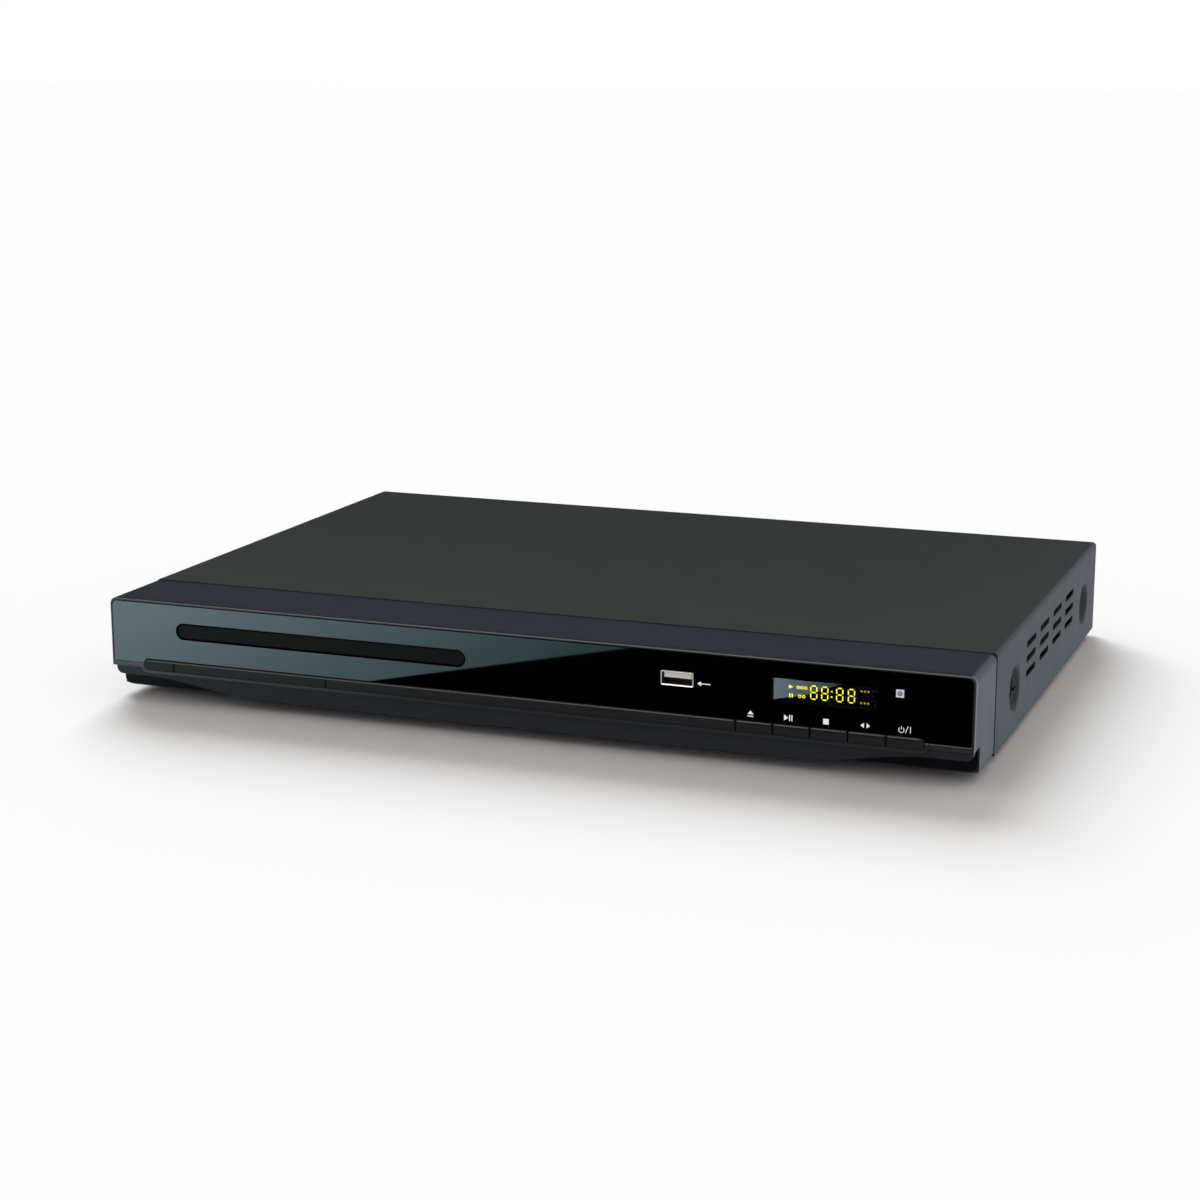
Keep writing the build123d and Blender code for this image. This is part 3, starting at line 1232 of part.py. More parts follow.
def loader_frame():
    """Moulded loader frame: walls, deck, gear axles, pivot lugs and the rail for the lift cam."""
    frame = along_z(deck_outline(), DECK_Z - DECK_THICK, DECK_Z)
    frame += frame_side(1)
    frame += frame_side(-1)
    rail_y = back(BAY_START)
    frame += block(-FRAME_IN, FRAME_IN, rail_y - BEZEL_WALL, rail_y, FRAME_Z, DECK_Z)
    rear_y = back(FRAME_BACK)
    frame += block(-FRAME_IN, FRAME_IN, rear_y - BEZEL_WALL, rear_y, FRAME_Z, DECK_Z + 4)
    for x, z in cam_guide_places():
        frame += rod_y(x, z, CAM_GUIDE, rail_y - 1, rail_y + CAM_CLEAR + CAM_THICK + 0.6)
    for side in (-1, 1):
        lug = rect(PIVOT_Y - 7, PIVOT_Y + 7, DECK_Z - 6, DECK_Z + 6)
        lug -= Pos(PIVOT_Y, PIVOT_Z) * Circle(BUSH_RADIUS + NEST_GAP)
        frame += along_x(lug, *sorted((side * (BAY_REAR - 1), side * (BAY_REAR + 5))))
    frame = Pos(SLOT_X, 0, 0) * frame
    frame += rod_z(TRAY_GEAR_X, TRAY_GEAR_Y, AXLE, DECK_Z - 1, TRAY_UNDER - 0.4)
    frame += rod_z(PULLEY_X, PULLEY_Y, AXLE, DECK_Z - 1, TRAY_LOW - 0.4)
    for x, y in bridge_screw_places():
        frame -= rod_z(x, y, SCREW_SHANK + NEST_GAP, BRIDGE_Z - SCREW_LENGTH - 1, BRIDGE_Z + 1)
    bush_bore = rod_x(PIVOT_Y, PIVOT_Z, BUSH_RADIUS + NEST_GAP, SLOT_X - BAY_REAR - 6, SLOT_X + BAY_REAR + 6)
    return frame - bush_bore


def gear_outline(teeth, module, tooth_at):
    """Spur gear outline about the origin, with a tooth centred at an angle in degrees."""
    pitch = teeth * module / 2
    base = pitch * math.cos(PRESSURE)
    tip = pitch + module * ADDENDUM
    root = pitch - module * DEDENDUM
    foot_radius = max(base, root)
    half_tooth = (math.pi * module / 2 - BACKLASH) / (2 * pitch)

    def involute(radius):
        """Involute angle at a radius."""
        angle = math.acos(base / radius)
        return math.tan(angle) - angle

    def flank(radius):
        """Half the tooth's angle at a radius."""
        return half_tooth + involute(pitch) - involute(radius)

    def polar(radius, angle):
        """Point on the outline."""
        return (radius * math.cos(angle), radius * math.sin(angle))

    edges = []
    step = 2 * math.pi / teeth
    middle_radius = (foot_radius + tip) / 2
    for index in range(teeth):
        centre = math.radians(tooth_at) + index * step
        for side in (-1, 1):
            low = polar(foot_radius, centre + side * flank(foot_radius))
            middle = polar(middle_radius, centre + side * flank(middle_radius))
            high = polar(tip, centre + side * flank(tip))
            edges.append(ThreePointArc(low, middle, high))
            if root < foot_radius:
                edges.append(Line(polar(root, centre + side * flank(foot_radius)), low))
        edges.append(ThreePointArc(polar(tip, centre - flank(tip)), polar(tip, centre),
                                   polar(tip, centre + flank(tip))))
        gap = centre + step / 2
        edges.append(ThreePointArc(polar(root, centre + flank(foot_radius)), polar(root, gap),
                                   polar(root, centre + step - flank(foot_radius))))
    return make_face(edges)


def tray_gear():
    """Pinion under the tray's rack and the wheel that drives it, in one moulding."""
    pinion = gear_outline(PINION_TEETH, RACK_MODULE, 0)
    wheel = gear_outline(WHEEL_TEETH, WHEEL_MODULE, MESH_TURN)
    gear = along_z(wheel, TRAY_LOW - 3.5, TRAY_LOW - 0.9)
    gear += along_z(pinion, TRAY_LOW + 0.2, TRAY_UNDER - 0.3)
    gear += rod_z(0, 0, AXLE + 2.2, DECK_Z + 0.3, TRAY_LOW + 0.3)
    return Pos(TRAY_GEAR_X, TRAY_GEAR_Y, 0) * (gear - rod_z(0, 0, AXLE + AXLE_CLEAR, DECK_Z, TRAY_HIGH))


def grooved(radius, low):
    """Pulley with a flanged groove for the belt."""
    high = low + PULLEY_HEIGHT
    edge = (PULLEY_HEIGHT - BELT) / 2 - BELT_CLEAR
    outer = radius + PULLEY_FLANGE
    return turned([(0, low), (outer, low), (outer, low + edge), (radius, low + edge), (radius, high - edge),
                   (outer, high - edge), (outer, high), (0, high)])


def pulley_gear():
    """Belt pulley with the small gear on its top."""
    gear = grooved(PULLEY_RADIUS, PULLEY_Z)
    small = gear_outline(SMALL_TEETH, WHEEL_MODULE, MESH_TURN + 180 + 180 / SMALL_TEETH)
    gear += along_z(small, PULLEY_Z + PULLEY_HEIGHT, TRAY_LOW - 0.9)
    return Pos(PULLEY_X, PULLEY_Y, 0) * (gear - rod_z(0, 0, AXLE + AXLE_CLEAR, DECK_Z, TRAY_HIGH))


def loading_motor():
    """Flat motor under the deck, with its bearing boss."""
    top = DECK_Z - DECK_THICK
    can = rod_z(0, 0, MOTOR_RADIUS, top - MOTOR_HEIGHT, top)
    can = fillet(can.edges().group_by(Axis.Z)[0], 1)
    can += rod_z(0, 0, MOTOR_SHAFT + 1.8, top, DECK_Z)
    can -= rod_z(0, 0, MOTOR_SHAFT + AXLE_CLEAR, top - 6, DECK_Z + 1)
    return Pos(LOAD_MOTOR_X, LOAD_MOTOR_Y, 0) * can


def motor_pulley():
    """Small pulley on the motor's shaft."""
    pulley = grooved(MOTOR_PULLEY_RADIUS, PULLEY_Z)
    pulley += rod_z(0, 0, MOTOR_SHAFT, DECK_Z - DECK_THICK - 5, PULLEY_Z + 1)
    return Pos(LOAD_MOTOR_X, LOAD_MOTOR_Y, 0) * pulley


def belt_outline(grow):
    """Taut loop round the two pulleys, grown from their grooves."""
    big = Pos(PULLEY_X, PULLEY_Y) * Circle(PULLEY_RADIUS + grow)
    small = Pos(LOAD_MOTOR_X, LOAD_MOTOR_Y) * Circle(MOTOR_PULLEY_RADIUS + grow)
    return make_hull(big.edges() + small.edges())


def drive_belt():
    """Square belt round the motor pulley and the pulley gear."""
    middle = PULLEY_Z + PULLEY_HEIGHT / 2
    loop = belt_outline(BELT_CLEAR + BELT) - belt_outline(BELT_CLEAR)
    return along_z(loop, middle - BELT / 2, middle + BELT / 2)


# Tray


def rack_outline():
    """Row of rack teeth beside the pinion, with a gap at the pinion's first tooth."""
    pitch = math.pi * RACK_MODULE
    tip = RACK_X - RACK_MODULE * ADDENDUM
    root = RACK_X + RACK_MODULE * DEDENDUM
    slope = math.tan(PRESSURE)
    half = pitch / 4 - BACKLASH / 2
    teeth = math.ceil((TRAY_TRAVEL + 2 * PINION_RADIUS) / pitch)
    start = TRAY_GEAR_Y - PINION_RADIUS
    first = math.floor((start - TRAY_GEAR_Y) / pitch) + 0.5
    points = []
    for index in range(teeth):
        middle = TRAY_GEAR_Y + (first + index) * pitch
        low, high = half + RACK_MODULE * DEDENDUM * slope, half - RACK_MODULE * ADDENDUM * slope
        points += [(root, middle - low), (tip, middle - high), (tip, middle + high), (root, middle + low)]
    heel = RACK_X + RACK_BACK
    end_low = points[0][1] - 1
    end_high = points[-1][1] + 1
    points = [(root, end_low)] + points + [(root, end_high), (heel, end_high), (heel, end_low)]
    return outline(points)


def disc_tray():
    """Tray with its stepped disc recess, gate for the pickup, skirts and rack."""
    half = TRAY_WIDTH / 2
    rear = TRAY_FRONT + TRAY_LENGTH
    plan = rect(-half, half, TRAY_FRONT, rear)
    plan = fillet(plan.vertices().group_by(Axis.Y)[-1], 5)
    tray = along_z(plan, TRAY_LOW, TRAY_HIGH)
    tray -= rod_z(0, DISC_Y, DISC_RECESS, TRAY_HIGH - DISC_DEPTH, TRAY_HIGH + 1)
    tray -= rod_z(0, DISC_Y, SMALL_RECESS, SMALL_FLOOR, TRAY_HIGH)
    for turn in (-45, -135):
        angle = math.radians(turn)
        notch = Pos(DISC_RECESS * math.cos(angle), DISC_Y + DISC_RECESS * math.sin(angle)) * Circle(9)
        notch &= rect(-half + TRAY_SKIRT, half - TRAY_SKIRT, TRAY_FRONT + 3, rear)
        tray -= along_z(notch, SMALL_FLOOR, TRAY_HIGH + 1)
    hollow = rect(-half + TRAY_SKIRT, half - TRAY_SKIRT, TRAY_FRONT + 3, rear - TRAY_SKIRT)
    tray -= along_z(hollow, TRAY_LOW - 1, TRAY_UNDER)
    rib = TRAY_GATE + GATE_RIB
    ribs = Pos(0, DISC_Y) * Circle(rib) + rect(-rib, rib, DISC_Y, rear - TRAY_SKIRT)
    tray += along_z(ribs, TRAY_LOW, TRAY_UNDER)
    tray += along_z(rack_outline(), TRAY_LOW, TRAY_UNDER)
    gate = Pos(0, DISC_Y) * Circle(TRAY_HOLE)
    gate += rect(-TRAY_GATE, TRAY_GATE, DISC_Y + TRAY_HOLE / 2, rear + 1)
    return Pos(SLOT_X, 0, 0) * (tray - along_z(gate, TRAY_LOW - 1, TRAY_HIGH + 1))


def tray_door():
    """Round-ended front of the tray, with an eased edge."""
    door = along_y(tray_slot(-DOOR_GAP), back(DOOR_SINK), back(DOOR_SINK + DOOR_THICK))
    return chamfer(door.faces().sort_by(Axis.Y)[0].edges(), DOOR_EDGE)


# Disc clamp


def clamp_bridge():
    """Sheet bridge over the tray that carries the clamper."""
    sheet = Pos(SLOT_X, DISC_Y) * RectangleRounded(2 * FRAME_OUT, BRIDGE_DEPTH, 4)
    sheet -= Pos(SLOT_X, DISC_Y) * Circle(CLAMP_NECK + CLAMP_GAP + 0.2)
    sheet -= Sketch() + [Pos(x, y) * Circle(SCREW_SHANK + SCREW_CLEAR) for x, y in bridge_screw_places()]
    bridge = along_z(sheet, BRIDGE_Z, BRIDGE_Z + BRIDGE_SHEET)
    for end in (-1, 1):
        y = DISC_Y + end * (BRIDGE_DEPTH / 2 - BRIDGE_SHEET)
        rib = Pos(SLOT_X, y) * Rectangle(BRIDGE_RIB, BRIDGE_SHEET)
        bridge += along_z(rib, BRIDGE_Z, BRIDGE_Z + 2 * BRIDGE_SHEET)
    return bridge


def clamper():
    """Free puck in the bridge that presses the disc on the turntable."""
    low = TRAY_Z + CLAMP_LIFT
    under = BRIDGE_Z - CLAMP_GAP
    over = BRIDGE_Z + BRIDGE_SHEET + CLAMP_GAP
    bore = low + CLAMP_BORE_DEPTH
    top = over + CLAMP_CAP
    points = [(0, bore), (CLAMP_BORE, bore), (CLAMP_BORE, low), (CLAMP_FLANGE, low), (CLAMP_FLANGE, under),
              (CLAMP_NECK, under), (CLAMP_NECK, over), (CLAMP_FLANGE, over), (CLAMP_FLANGE, top), (0, top)]
    return Pos(SLOT_X, DISC_Y, 0) * turned(points)


# Traverse


def tipped(solid):
    """A traverse piece moved from its level place to its lowered rest."""
    place = Pos(SLOT_X, PIVOT_Y, PIVOT_Z) * Rot(LIFT_ANGLE, 0, 0) * Pos(0, -PIVOT_Y, -PIVOT_Z)
    return place * solid


def traverse_frame():
    """Tipping plate that carries the spindle, the rods and the feed."""
    plan = rect(-TRAVERSE_NOSE, TRAVERSE_NOSE, back(TRAVERSE_FRONT), back(BAY_STEP) + 4)
    plan += rect(-TRAVERSE_HALF, TRAVERSE_HALF, back(BAY_STEP) + 3, back(TRAVERSE_BACK))
    plan -= rect(-WELL_HALF, WELL_HALF, back(WELL_FRONT), back(WELL_BACK))
    frame = along_z(plan, PLATE_LOW, PLATE_HIGH)
    for side in (-1, 1):
        outer = side * TRAVERSE_HALF
        cheek = rect(back(WELL_BACK) + 4, back(TRAVERSE_BACK), PIVOT_Z - 4, PLATE_LOW)
        frame += along_x(cheek, *sorted((outer, outer - side * BEZEL_WALL)))
        frame += rod_x(PIVOT_Y, PIVOT_Z, PIVOT_PIN, *sorted((outer - side, side * (BAY_REAR + 4))))
        x0, x1 = sorted((side * (ROD_X - 3), side * (ROD_X + 3)))
        for start in (back(WELL_FRONT) - ROD_LUG, back(WELL_BACK)):
            frame += block(x0, x1, start, start + ROD_LUG, ROD_Z - 3, PLATE_LOW)
    frame += block(SCREW_X - 3, SCREW_X + 3, back(WELL_FRONT) - 3, back(WELL_FRONT), FEED_Z - 3, PLATE_LOW)
    for side in (-1, 1):
        frame -= rod_y(side * ROD_X, ROD_Z, ROD_RADIUS + NEST_GAP, back(WELL_FRONT) - 4, back(WELL_BACK) + 4)
    screw_end = back(WELL_BACK) + ROD_LUG + 1
    frame -= rod_y(SCREW_X, FEED_Z, SCREW_RADIUS + AXLE_CLEAR, back(WELL_FRONT) - 4, screw_end)
    nose = back(TRAVERSE_FRONT)
    pin_z = (PLATE_LOW + PLATE_HIGH) / 2
    frame += rod_y(LIFT_PIN_X, pin_z, LIFT_PIN, back(BAY_START) + CAM_CLEAR, nose + 1)
    return tipped(frame)


def pivot_bushes():
    """Rubber bushes of the traverse pivots."""
    bushes = []
    for side in (-1, 1):
        ends = sorted((SLOT_X + side * (BAY_REAR - 1), SLOT_X + side * (BAY_REAR + 5)))
        bush = rod_x(PIVOT_Y, PIVOT_Z, BUSH_RADIUS, *ends)
        bushes.append(bush - rod_x(PIVOT_Y, PIVOT_Z, PIVOT_PIN + AXLE_CLEAR, ends[0] - 1, ends[1] + 1))
    return Compound(children=bushes)


def lift_slot():
    """Start and end of the cam's sloping slot, as (x, z) from the middle of the tray."""
    arm_y = back(BAY_START) + CAM_CLEAR + CAM_THICK / 2 - PIVOT_Y
    arm_z = (PLATE_LOW + PLATE_HIGH) / 2 - PIVOT_Z
    tip = math.radians(LIFT_ANGLE)
    low = PIVOT_Z + arm_y * math.sin(tip) + arm_z * math.cos(tip)
    return (LIFT_PIN_X, low), (LIFT_PIN_X + CAM_TRAVEL, PIVOT_Z + arm_z)


def lift_cam():
    """Sliding plate whose sloping slot lifts the front of the traverse."""
    (x0, z0), (x1, z1) = lift_slot()
    face = rounded(rect(*cam_ends(), FRAME_Z + 1, z1 + 4), 1.5)
    length = math.hypot(x1 - x0, z1 - z0)
    turn = math.degrees(math.atan2(z1 - z0, x1 - x0))
    wide = 2 * (LIFT_PIN + CAM_CLEAR)
    face -= Pos((x0 + x1) / 2, (z0 + z1) / 2) * Rot(0, 0, turn) * SlotOverall(length + wide, wide)
    wide = 2 * (CAM_GUIDE + AXLE_CLEAR)
    for x, z in cam_guide_places():
        face -= Pos(x + CAM_TRAVEL / 2, z) * SlotOverall(CAM_TRAVEL + wide, wide)
    start = back(BAY_START) + CAM_CLEAR
    return Pos(SLOT_X, 0, 0) * along_y(face, start, start + CAM_THICK)


def spindle_motor():
    """Flat spindle motor on the traverse plate."""
    low = PLATE_HIGH
    high = SEAT_Z - TABLE_THICK - 0.5
    motor = rod_z(0, DISC_Y, SPINDLE_RADIUS, low, high)
    motor = fillet(motor.edges().group_by(Axis.Z)[-1], 0.8)
    motor -= rod_z(0, DISC_Y, SPINDLE_SHAFT + AXLE_CLEAR, low + 1, high + 1)
    return tipped(motor)


def turntable():
    """Disc seat with its centring hub, on the spindle shaft."""
    low = SEAT_Z - TABLE_THICK
    hub = SEAT_Z + TABLE_HUB_HEIGHT
    table = turned([(0, low), (TABLE_RADIUS, low), (TABLE_RADIUS, SEAT_Z), (TABLE_HUB, SEAT_Z),
                    (TABLE_HUB, SEAT_Z + TABLE_HUB_HEIGHT * 0.4), (TABLE_HUB * 0.6, hub), (0, hub)])
    table += rod_z(0, 0, SPINDLE_SHAFT, PLATE_HIGH + 1.5, low + 0.5)
    return tipped(Pos(0, DISC_Y, 0) * table)


def guide_rods():
    """Two ground rods that the pickup runs on."""
    ends = (back(WELL_FRONT) - 4, back(WELL_BACK) + 4)
    return Compound(children=[tipped(rod_y(side * ROD_X, ROD_Z, ROD_RADIUS, *ends)) for side in (-1, 1)])


def pickup_sled():
    """Pickup body with its bearings on the rods and a nut on the feed screw."""
    half = SLED_WIDTH / 2
    front, rear = SLED_FRONT, SLED_FRONT + SLED_LENGTH
    low, high = FEED_Z - 1.9, SEAT_Z - 4.3
    plan = rounded(rect(-half, half, front, rear), 3)
    sled = along_z(plan, low, high)
    for side in (-1, 1):
        x0, x1 = sorted((side * (half - 1), side * (ROD_X + 3)))
        for y0 in (front + 3, rear - 9):
            sled += block(x0, x1, y0, y0 + 6, ROD_Z - 3, ROD_Z + 2.6)
        sled -= rod_y(side * ROD_X, ROD_Z, ROD_RADIUS + ROD_CLEAR, front, rear)
    nut_y = (front + rear) / 2
    sled += block(SCREW_X - 3, -half + 1, nut_y - 4, nut_y + 4, low, FEED_Z + 1.9)
    sled -= rod_y(SCREW_X, FEED_Z, SCREW_RADIUS + ROD_CLEAR, front, rear)
    well = LENS_RADIUS + LENS_CLEAR
    return tipped(sled - rod_z(0, LENS_Y, well, high - 3.4, high + 1))


def pickup_lens():
    """Lens holder, hung in the well of the pickup, with its lens."""
    high = SEAT_Z - 4.3
    holder = rod_z(0, LENS_Y, LENS_RADIUS, high - 3.4 + LENS_CLEAR, high + 1.2)
    lens = rod_z(0, LENS_Y, LENS_DOME, high + 1, high + 1.8)
    lens = fillet(lens.edges().group_by(Axis.Z)[-1], 0.5)
    return tipped(holder + lens)


def feed_screw():
    """Screw that moves the pickup, on the feed motor's axis."""
    motor_face = back(WELL_BACK) + ROD_LUG + CLAMP_GAP
    return tipped(rod_y(SCREW_X, FEED_Z, SCREW_RADIUS, back(WELL_FRONT) - 3, motor_face + 3))


def feed_motor():
    """Round motor under the rear of the traverse plate."""
    face = back(WELL_BACK) + ROD_LUG + CLAMP_GAP
    can = rod_y(SCREW_X, FEED_Z, FEED_MOTOR_RADIUS, face, face + FEED_MOTOR_LENGTH)
    can = fillet(can.edges().group_by(Axis.Y)[-1], 0.8)
    return tipped(can - rod_y(SCREW_X, FEED_Z, SCREW_RADIUS + AXLE_CLEAR, face - 1, face + 4))


PIECES = {
    "chassis_pan": chassis_pan, "rear_panel": rear_panel, "top_cover": top_cover,
    "cover_screws": cover_screws, "bezel_screws": bezel_screws, "front_bezel": front_bezel,
    "front_frame": front_frame, "base_strip": base_strip, "front_glass": front_glass,
    "display_window": display_window, "button_trim": button_trim, "front_board": front_board,
    "key_switches": key_switches, "display_module": display_module, "ir_receiver": ir_receiver,
    "usb_shell": usb_shell, "usb_tongue": usb_tongue, "main_board": main_board, "main_chips": main_chips,
    "main_capacitors": main_capacitors, "hdmi_socket": hdmi_socket, "av_jack_block": av_jack_block,
    "av_jack_barrels": av_jack_barrels, "power_board": power_board, "transformer": transformer,
    "power_capacitors": power_capacitors, "heat_sink": heat_sink, "mains_inlet": mains_inlet,
    "inlet_pins": inlet_pins, "inner_screws": inner_screws, "ribbon_cables": ribbon_cables,
    "loader_frame": loader_frame, "clamp_bridge": clamp_bridge, "clamper": clamper,
    "loading_motor": loading_motor, "motor_pulley": motor_pulley, "drive_belt": drive_belt,
    "pulley_gear": pulley_gear, "tray_gear": tray_gear, "disc_tray": disc_tray, "tray_door": tray_door,
    "lift_cam": lift_cam, "traverse_frame": traverse_frame, "pivot_bushes": pivot_bushes,
    "spindle_motor": spindle_motor, "turntable": turntable, "guide_rods": guide_rods,
    "pickup_sled": pickup_sled, "pickup_lens": pickup_lens, "feed_screw": feed_screw,
    "feed_motor": feed_motor,
}


def build():
    """Every piece of the player, by name."""
    solids = {name: make() for name, make in PIECES.items()}
    for name, (x, y) in foot_places().items():
        solids[name] = foot(x, y)
    for index, name in enumerate(KEY_NAMES):
        solids[f"button_{name}"] = front_key(index)
    return solids


if __name__ == "__main__":
    os.makedirs("parts", exist_ok=True)
    for name, solid in build().items():
        export_step(solid, f"parts/{name}.step")
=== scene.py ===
"""Looks of a low disc player with a sliding tray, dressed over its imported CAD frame, in metres.

The frame has +X to the right as the player is faced, +Y to the back and +Z up, and stands on z = 0.
"""
import logging
import math
from dataclasses import dataclass
from enum import Enum
from typing import Optional, Sequence

import bmesh
import bpy
from mathutils import Matrix, Vector


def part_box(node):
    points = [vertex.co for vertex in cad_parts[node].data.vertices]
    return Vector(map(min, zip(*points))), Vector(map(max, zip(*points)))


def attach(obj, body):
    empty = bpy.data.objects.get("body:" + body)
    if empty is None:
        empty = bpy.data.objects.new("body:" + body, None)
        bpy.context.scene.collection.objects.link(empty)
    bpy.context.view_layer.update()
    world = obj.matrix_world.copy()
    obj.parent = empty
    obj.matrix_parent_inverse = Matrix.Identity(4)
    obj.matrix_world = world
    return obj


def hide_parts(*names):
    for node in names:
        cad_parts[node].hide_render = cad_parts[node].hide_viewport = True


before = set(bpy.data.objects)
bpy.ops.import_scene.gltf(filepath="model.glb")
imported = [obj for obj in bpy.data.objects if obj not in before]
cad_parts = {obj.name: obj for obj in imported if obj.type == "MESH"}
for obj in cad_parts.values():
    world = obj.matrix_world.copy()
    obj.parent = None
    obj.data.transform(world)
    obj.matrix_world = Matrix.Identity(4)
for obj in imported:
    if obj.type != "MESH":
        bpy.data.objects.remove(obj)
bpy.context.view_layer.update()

MM = 0.001
LOG = logging.getLogger("disc_player")
Point2 = tuple[float, float]
Point3 = tuple[float, float, float]
Box = tuple[float, float, float, float]
Outline = Sequence[Point2]
Tree = bpy.types.NodeTree
Socket = bpy.types.NodeSocket
# Colour sockets of the Mix node, by number, because their names repeat for each kind of value.
MIX_FIRST, MIX_SECOND, MIX_RESULT = 6, 7, 2


def linear(colour: str) -> tuple[float, float, float, float]:
    """Turn an sRGB hex colour to linear.

    Args:
        colour: Colour as "#rrggbb".

    Returns:
        Linear red, green and blue, and a full alpha.
    """
    parts = [int(colour[i:i + 2], 16) / 255 for i in (1, 3, 5)]
    red, green, blue = (c / 12.92 if c <= 0.04045 else ((c + 0.055) / 1.055) ** 2.4 for c in parts)
    return red, green, blue, 1.0


def per_mm(size: float) -> float:
    """Texture scale whose features are about this many millimetres wide."""
    return 1 / (size * MM)


def add_node(tree: Tree, kind: str, settings: Optional[dict] = None,
             links: Optional[dict] = None) -> bpy.types.Node:
    """Add one node with its settings and links.

    Args:
        tree: Node tree that gets the node.
        kind: Blender's name for the kind of node.
        settings: Values by property name or else by input name or number.
        links: Output sockets by the input that they feed.

    Returns:
        The new node.
    """
    node = tree.nodes.new(kind)
    for name, value in (settings or {}).items():
        if isinstance(name, str) and hasattr(node, name):
            setattr(node, name, value)
        else:
            node.inputs[name].default_value = value
    for name, socket in (links or {}).items():
        tree.links.new(socket, node.inputs[name])
    return node


# Finishes


@dataclass(frozen=True)
class Finish:
    """Smooth surface with a faint mottle and a fine grain.

    Sizes are in millimetres. The mottle shades the colour, the grain lifts the surface, and the spread is
    how far the roughness wanders.
    """

    name: str
    colour: str
    roughness: float = 0.5
    metallic: float = 0.0
    ior: float = 1.5
    specular: float = 0.5
    mottle: float = 0.06
    mottle_size: float = 9.0
    grain_size: float = 0.9
    grain_depth: float = 0.004
    spread: float = 0.05

    MOTTLE_DETAIL = 4.0
    GLOSS_DETAIL = 3.0
    GRAIN_DETAIL = 3.0

    def material(self) -> bpy.types.Material:
        """The Blender material of this finish, made once."""
        found = bpy.data.materials.get(self.name)
        if found:
            return found
        made = bpy.data.materials.new(self.name)
        made.use_nodes = True
        tree = made.node_tree
        tree.nodes.clear()
        place = add_node(tree, "ShaderNodeTexCoord").outputs["Object"]
        shader = self.shader(tree, place)
        add_node(tree, "ShaderNodeOutputMaterial", links={"Surface": shader.outputs[0]})
        return made

    def shader(self, tree: Tree, place: Socket) -> bpy.types.Node:
        """Principled shader of the finish.

        Args:
            tree: Tree of the material.
            place: Object coordinates.

        Returns:
            The shader node.
        """
        links = {"Roughness": self.gloss(tree, place), "Normal": self.relief(tree, place)}
        if self.mottle:
            links["Base Color"] = self.tint(tree, place)
        return add_node(tree, "ShaderNodeBsdfPrincipled", self.constants(), links)

    def constants(self) -> dict:
        """Sockets that are the same all over the surface."""
        values = {"Metallic": self.metallic, "Specular IOR Level": self.specular}
        if not self.metallic:
            values["IOR"] = self.ior
        if not self.mottle:
            values["Base Color"] = linear(self.colour)
        return values

    def tint(self, tree: Tree, place: Socket) -> Socket:
        """Colour with its mottle."""
        noise = add_node(tree, "ShaderNodeTexNoise", {
            "Scale": per_mm(self.mottle_size), "Detail": self.MOTTLE_DETAIL}, {"Vector": place})
        return self.shades(tree, noise.outputs["Fac"])

    def shades(self, tree: Tree, factor: Socket) -> Socket:
        """Colour between a darker and a lighter shade of the finish, by a factor."""
        base = linear(self.colour)[:3]
        dark = (*(c * (1 - self.mottle) for c in base), 1)
        light = (*(min(1, c * (1 + self.mottle)) for c in base), 1)
        mix = add_node(tree, "ShaderNodeMix", {
            "data_type": "RGBA", MIX_FIRST: dark, MIX_SECOND: light}, {0: factor})
        return mix.outputs[MIX_RESULT]

    def gloss(self, tree: Tree, place: Socket) -> Socket:
        """Roughness that wanders a little about its mean."""
        noise = add_node(tree, "ShaderNodeTexNoise", {
            "Scale": per_mm(self.mottle_size * 2), "Detail": self.GLOSS_DETAIL}, {"Vector": place})
        span = add_node(tree, "ShaderNodeMapRange", {
            "To Min": max(0.0, self.roughness - self.spread), "To Max": self.roughness + self.spread},
            {"Value": noise.outputs["Fac"]})
        return span.outputs["Result"]

    def relief(self, tree: Tree, place: Socket) -> Socket:
        """Bumped normal of the grain."""
        noise = add_node(tree, "ShaderNodeTexNoise", {
            "Scale": per_mm(self.grain_size), "Detail": self.GRAIN_DETAIL}, {"Vector": place})
        bump = add_node(tree, "ShaderNodeBump", {"Strength": 1.0, "Distance": self.grain_depth * MM},
                        {"Height": noise.outputs["Fac"]})
        return bump.outputs["Normal"]


@dataclass(frozen=True)
class ZincSheet(Finish):
    """Zinc-plated steel sheet: grey crystals a few millimetres across, each turned its own way."""

    crystal: float = 5.0

    def tint(self, tree: Tree, place: Socket) -> Socket:
        """Colour that changes from crystal to crystal."""
        cells = add_node(tree, "ShaderNodeTexVoronoi", {"Scale": per_mm(self.crystal)}, {"Vector": place})
        return self.shades(tree, cells.outputs["Color"])


@dataclass(frozen=True)
class BrushedMetal(Finish):
    """Metal with fine lines along one axis, from drawing, grinding or brushing."""

    stretch: Point3 = (0.04, 1.0, 1.0)

    GRAIN_DETAIL = 2.0

    def relief(self, tree: Tree, place: Socket) -> Socket:
        """Bumped normal of the lines."""
        drawn = add_node(tree, "ShaderNodeMapping", {"Scale": self.stretch}, {"Vector": place})
        return super().relief(tree, drawn.outputs["Vector"])


